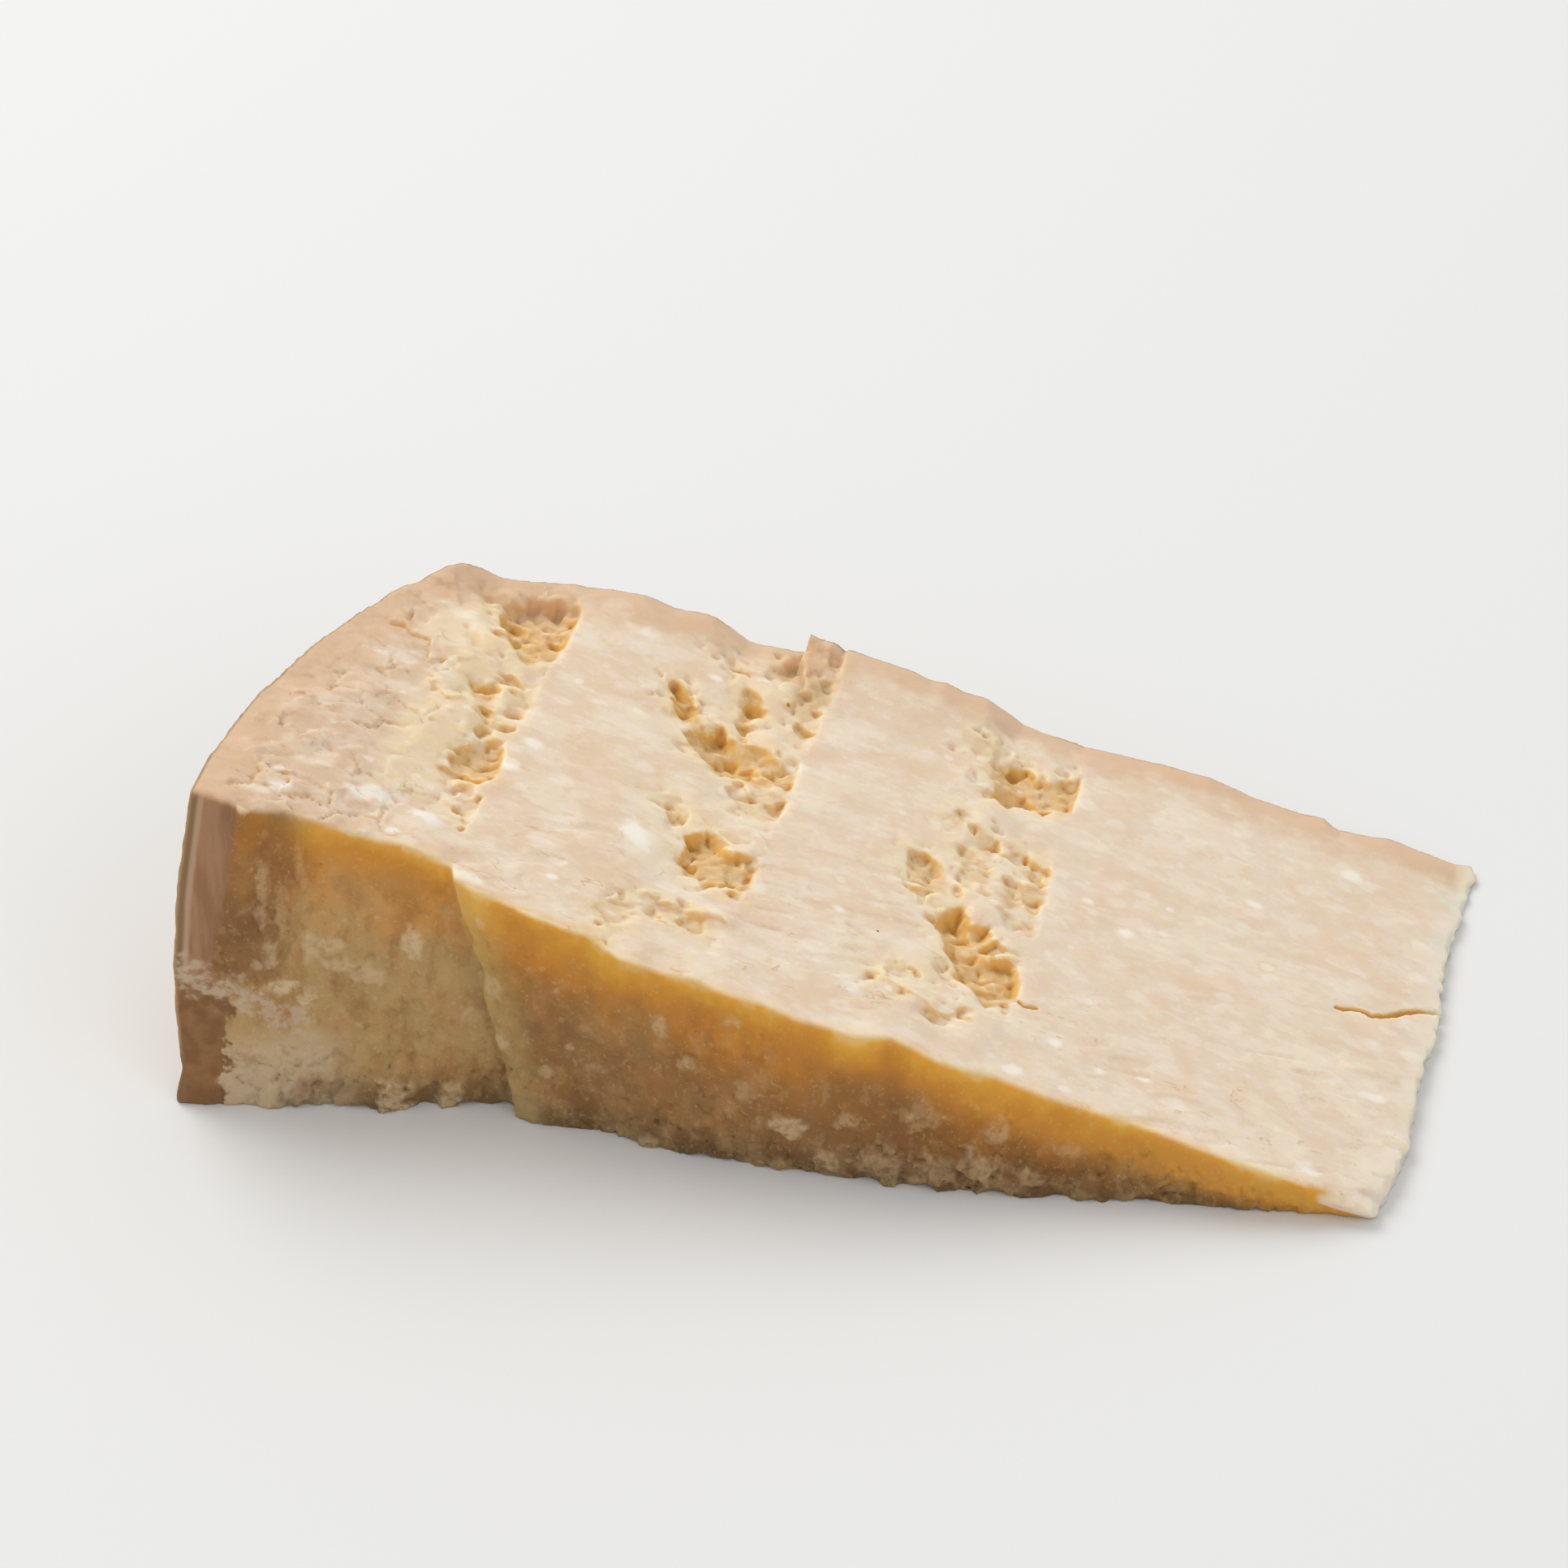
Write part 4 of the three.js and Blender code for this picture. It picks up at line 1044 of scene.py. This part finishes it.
def front_paste(nodes):
    """The split face: amber at its upper edge, where light comes through, as a painted glow, then brown, then
    grey and darker at its foot as painted shade.
    """
    span, cloud, times, most = nodes.span, nodes.cloud, nodes.times, nodes.most
    along_x = nodes.along_x()
    left = span("past_step", 0.4, -0.4)
    deep = span("under_top", 4, 12)
    patches = cloud(9, detail=5)
    mottle = cloud(3, (1, 1, 1.3), 5, 0.6)
    # Down from the upper edge: a painted glow of amber, then browner and darker further down, partly the
    # face's own brown and partly painted shade.
    depth = nodes.math("DIVIDE", nodes.ragged("under_top", 9, 2, 3), 20)
    right_block_glow_and_shade = nodes.ramp(depth, {
        0: "eac476", 0.06: "e8b042", 0.24: "d89638", 0.45: "c88434",
        0.75: "aa763a", 1: "966e42",
    })
    left_block_glow_and_shade = nodes.ramp(depth, {
        0: "eac47c", 0.06: "e6ac48", 0.22: "d89438", 0.42: "d49446",
        0.75: "cc995a", 1: "ba9662",
    })
    brown = times(span(cloud(7, (1, 1, 1.4), 5, 0.6), 0.46, 0.66, 0, 0.5), deep)
    pale = times(span(patches, 0.44, 0.6), span(left, 0, 1, 0.3, 0.55), deep)
    pink = times(span(cloud(5, detail=4), 0.48, 0.66, 0, 0.4), deep)
    crumbled = times(span(along_x, -12, 20), span("under_top", 5, 12, 0, 0.7), span(left, 1, 0))
    # Painted glow where the wedge grows thin towards the tip.
    thin_glow = times(span(along_x, 38, 70, 0, 0.5), span("under_top", 0.5, 3))
    beside_rind = times(span("rind_end", 15, 5, 0, 0.95), span("height", 20, 27))
    beside_rind = times(beside_rind, span(patches, 0.3, 0.6, 1, 0.7))
    # Patches of amber in the upper part: partly the paste's own tone and partly painted glow.
    amber = times(span(cloud(8, (1, 1, 1.8)), 0.44, 0.68, 0, 0.4), span("under_top", 20, 9))
    # Grey-brown and darker at the foot: painted shade.
    foot = times(span("height", 9, 0.5, 0, 0.85), span("under_top", 5, 11))
    corner = times(left, span(along_x, -72, -82), span("height", 18, 9), span(patches, 0.35, 0.55, 0.2, 0.8))
    # The right block's left edge is painted lighter: painted light on the strip that faces the light from the
    # left.
    edge = times(span("past_step", 10, 0.5), span("past_step", -1, 0.2), 0.55)
    # White specks in clusters, larger spots, and the lumps, all broken up.
    specks = times(nodes.spots(2.6, 0.4, 0.25, 0.8), span(cloud(6, detail=4), 0.5, 0.6, 0, 0.5))
    spots = most(times(most(nodes.spots(8, 0.5, 0.8, 2), specks), 0.5), "front_white")
    spots = times(spots, span(cloud(1.4, (1, 1, 1), 5, 0.65), 0.36, 0.56, 0.3, 1.1))
    return nodes.coats(
        right_block_glow_and_shade,
        (left, left_block_glow_and_shade),
        (brown, "925e2c"),
        (pale, nodes.coats("b88c56", (left, "c09e68"))),
        (pink, "c08854"),
        (crumbled, "7e522a"),
        (thin_glow, "d8a048"),
        (beside_rind, "885c36"),
        (amber, "cc8836"),
        # Painted shade at the foot.
        (foot, nodes.coats("684e30", (span(patches, 0.45, 0.6), "947a56"))),
        (corner, "ceb696"),
        # Painted light on the right block's left edge.
        (edge, nodes.coats("e8c470", (span("height", 40, 6), "c4ac72"))),
        # Painted shade in the hollows, darkest near the foot.
        (times(span("hollow", 0.08, 0.45, 0, 0.45), deep), "82562c"),
        (times(span("hollow", 0.06, 0.36, 0, 0.5), span("height", 15, 5)), "583e24"),
        (times(span(mottle, 0.52, 0.66, 0, 0.3), deep), "cea670"),
        (times(span(mottle, 0.48, 0.36, 0, 0.3), deep), "986834"),
        (span(cloud(0.8, (1, 1, 1), 4, 0.65), 0.56, 0.7, 0, 0.25), "e4c898"),
        (times(spots, 0.85), "dac096"),
    )


def rind_paste(nodes):
    """The smooth, streaked brown of the rind where it was cut and split, darker in its lower part."""
    span, cloud, times = nodes.span, nodes.cloud, nodes.times
    low = nodes.coats("865d37", (span(cloud(3, detail=5), 0.35, 0.65), "996f46"))
    # A pale line just inside the crust: a painted highlight.
    line = times(span("from_side_rind", 1.3, 1.9), span("from_side_rind", 2.9, 2.2), 0.5)
    return nodes.coats(
        "9d724e",
        (span(cloud(2.2, (1, 1, 9)), 0.35, 0.65), "ae8361"),
        (span("from_side_rind", 2.6, 1.6), "92704e"),
        # The painted highlight line.
        (line, "d6b69a"),
        (span(nodes.ragged("height", 4, 3), 25, 21.5), low),
    )


def fuzz(nodes):
    """A whitish streak across the rind's end and the paste beside it, falling to the right."""
    span = nodes.span
    along_x = nodes.along_x()
    level = nodes.ragged(nodes.math("MULTIPLY_ADD", along_x, 0.42, "height"), 3, 2)
    band = nodes.times(span(level, -14, -16.5), span(level, -22.5, -19.5), span(along_x, -78, -84))
    return nodes.times(band, span(nodes.cloud(1.6, (1.5, 1, 1), 6), 0.4, 0.6, 0, 0.75))


def crust_paste(nodes):
    """The golden brown outside of the wheel, with scuffs and pores, and a darker lip at the split face."""
    span, cloud = nodes.span, nodes.cloud
    return nodes.coats(
        "be986a",
        (span(cloud(26, (1, 1, 1), 6, 0.6), 0.3, 0.7), "a88258"),
        (span(cloud(2.2, (1, 1, 5), 4), 0.5, 0.75, 0, 0.3), "d4b07e"),
        (span(cloud(1.3, (1.6, 1.6, 1), 4, 0.65), 0.44, 0.34, 0, 0.5), "8c6842"),
        (nodes.times(span("from_front", 9, 3), span("height", 14, 6), 0.8), "7c5a3a"),
    )


def cheese_material():
    material = bpy.data.materials.new("parmesan_cheese")
    nodes = Nodes(material)
    span, cloud, times = nodes.span, nodes.cloud, nodes.times
    rind = nodes.math("MINIMUM", "from_flat_rind", "from_side_rind")
    chip = times(span("chip", -0.8, 0), span("under_top", 4, 3))
    front = times(span("from_front", 2.8, 0.9), span("under_top", -0.3, 1.1), nodes.without(chip))
    # The smooth rind's end has a ragged border, most of all in its lower part.
    wander = times(span(cloud(3, detail=5), 0.3, 0.7, -1.6, 1.6), span("height", 26, 20, 0.15, 1))
    rind_end = span(nodes.math("ADD", "rind_end", wander), 0.8, -0.4)
    paste = nodes.coats(
        upper_paste(nodes),
        (span(nodes.ragged(rind, 7, 3), 12, 3, 0, 0.8), "ddb894"),
        (front, front_paste(nodes)),
        (times(front, rind_end), rind_paste(nodes)),
        (times(front, fuzz(nodes)), "ccb498"),
        (span("from_crust", 0.9, 0.3), crust_paste(nodes)),
        (span("from_tip", 4, 0.5, 0, 0.6), "eaddcb"),
    )
    # Light comes through the paste, but less where the split face is deep under the upper one.
    thick = times(front, span("under_top", 3, 12, 0, 0.65))
    milky = times(span(rind, 0.3, 5, 0, 0.8), nodes.without(thick), span("crumbly", 0, 1, 1, 0.5))
    grain = nodes.math("ADD", times(cloud(0.55, detail=4), 0.7), times(cloud(0.2, detail=2), 0.3))
    crumbs = times(front, cloud(1.6, (1, 1, 1), 6, 0.7))
    relief_height = nodes.math("MULTIPLY_ADD", crumbs, 2.4, grain)
    bump = nodes.add("Bump", {"Strength": 0.3, "Distance": 0.0004, "Height": relief_height})
    nodes.surface({
        "Base Color": paste,
        "Roughness": span(cloud(3), 0.3, 0.7, 0.5, 0.66),
        "Normal": bump.outputs["Normal"],
        "Specular IOR Level": SHINE,
        "Subsurface Weight": milky,
        "Subsurface Radius": LIGHT_REACH,
        "Subsurface Scale": LIGHT_DEPTH * MM,
    })
    return material


def floor_material():
    material = bpy.data.materials.new("pale_floor")
    Nodes(material).surface({"Base Color": (0.8, 0.79, 0.77, 1), "Roughness": 0.8})
    return material


# ---- the studio ----

CAMERA_PLACE = (0.124268, -0.803737, 0.590678)
CAMERA_FORWARD = (-0.13683, 0.81767, -0.55919)
LENS = 135
SENSOR = 36
FLOOR_SIZE = 12
SKY_TONE = (0.92, 0.96, 1, 1)
SKY_STRENGTH = 0.66
WARM_WHITE = (1, 0.97, 0.93)


def make_camera():
    data = bpy.data.cameras.new("camera")
    data.lens = LENS
    data.sensor_width = SENSOR
    data.clip_start = 0.05
    data.clip_end = 20
    camera = add_object("camera", data)
    camera.location = CAMERA_PLACE
    camera.rotation_euler = Vector(CAMERA_FORWARD).to_track_quat("-Z", "Y").to_euler()
    bpy.context.scene.camera = camera


def make_light(name, place, size, power):
    data = bpy.data.lights.new(name, "AREA")
    data.shape = "DISK"
    data.size = size
    data.energy = power
    data.color = WARM_WHITE
    light = add_object(name, data)
    light.location = place
    light.rotation_euler = (-Vector(place)).to_track_quat("-Z", "Y").to_euler()


def make_studio():
    half = FLOOR_SIZE / 2
    corners = [(-half, -half, 0), (half, -half, 0), (half, half, 0), (-half, half, 0)]
    floor = add_object("floor", mesh_from("floor", corners, [(0, 1, 2, 3)]))
    floor.data.materials.append(floor_material())
    world = bpy.data.worlds.new("world")
    world.use_nodes = True
    background = world.node_tree.nodes["Background"]
    background.inputs["Color"].default_value = SKY_TONE
    background.inputs["Strength"].default_value = SKY_STRENGTH
    bpy.context.scene.world = world
    make_light("key", place=(-1.3, 1, 1.9), size=1.8, power=35)
    make_light("fill", place=(0.9, -1, 0.9), size=1.2, power=3)
    bpy.context.scene.view_settings.view_transform = "Standard"


make_camera()
make_studio()
chunk = make_chunk()
chunk.data.materials.clear()
chunk.data.materials.append(cheese_material())
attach(chunk, "root")
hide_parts("parmesan_chunk")
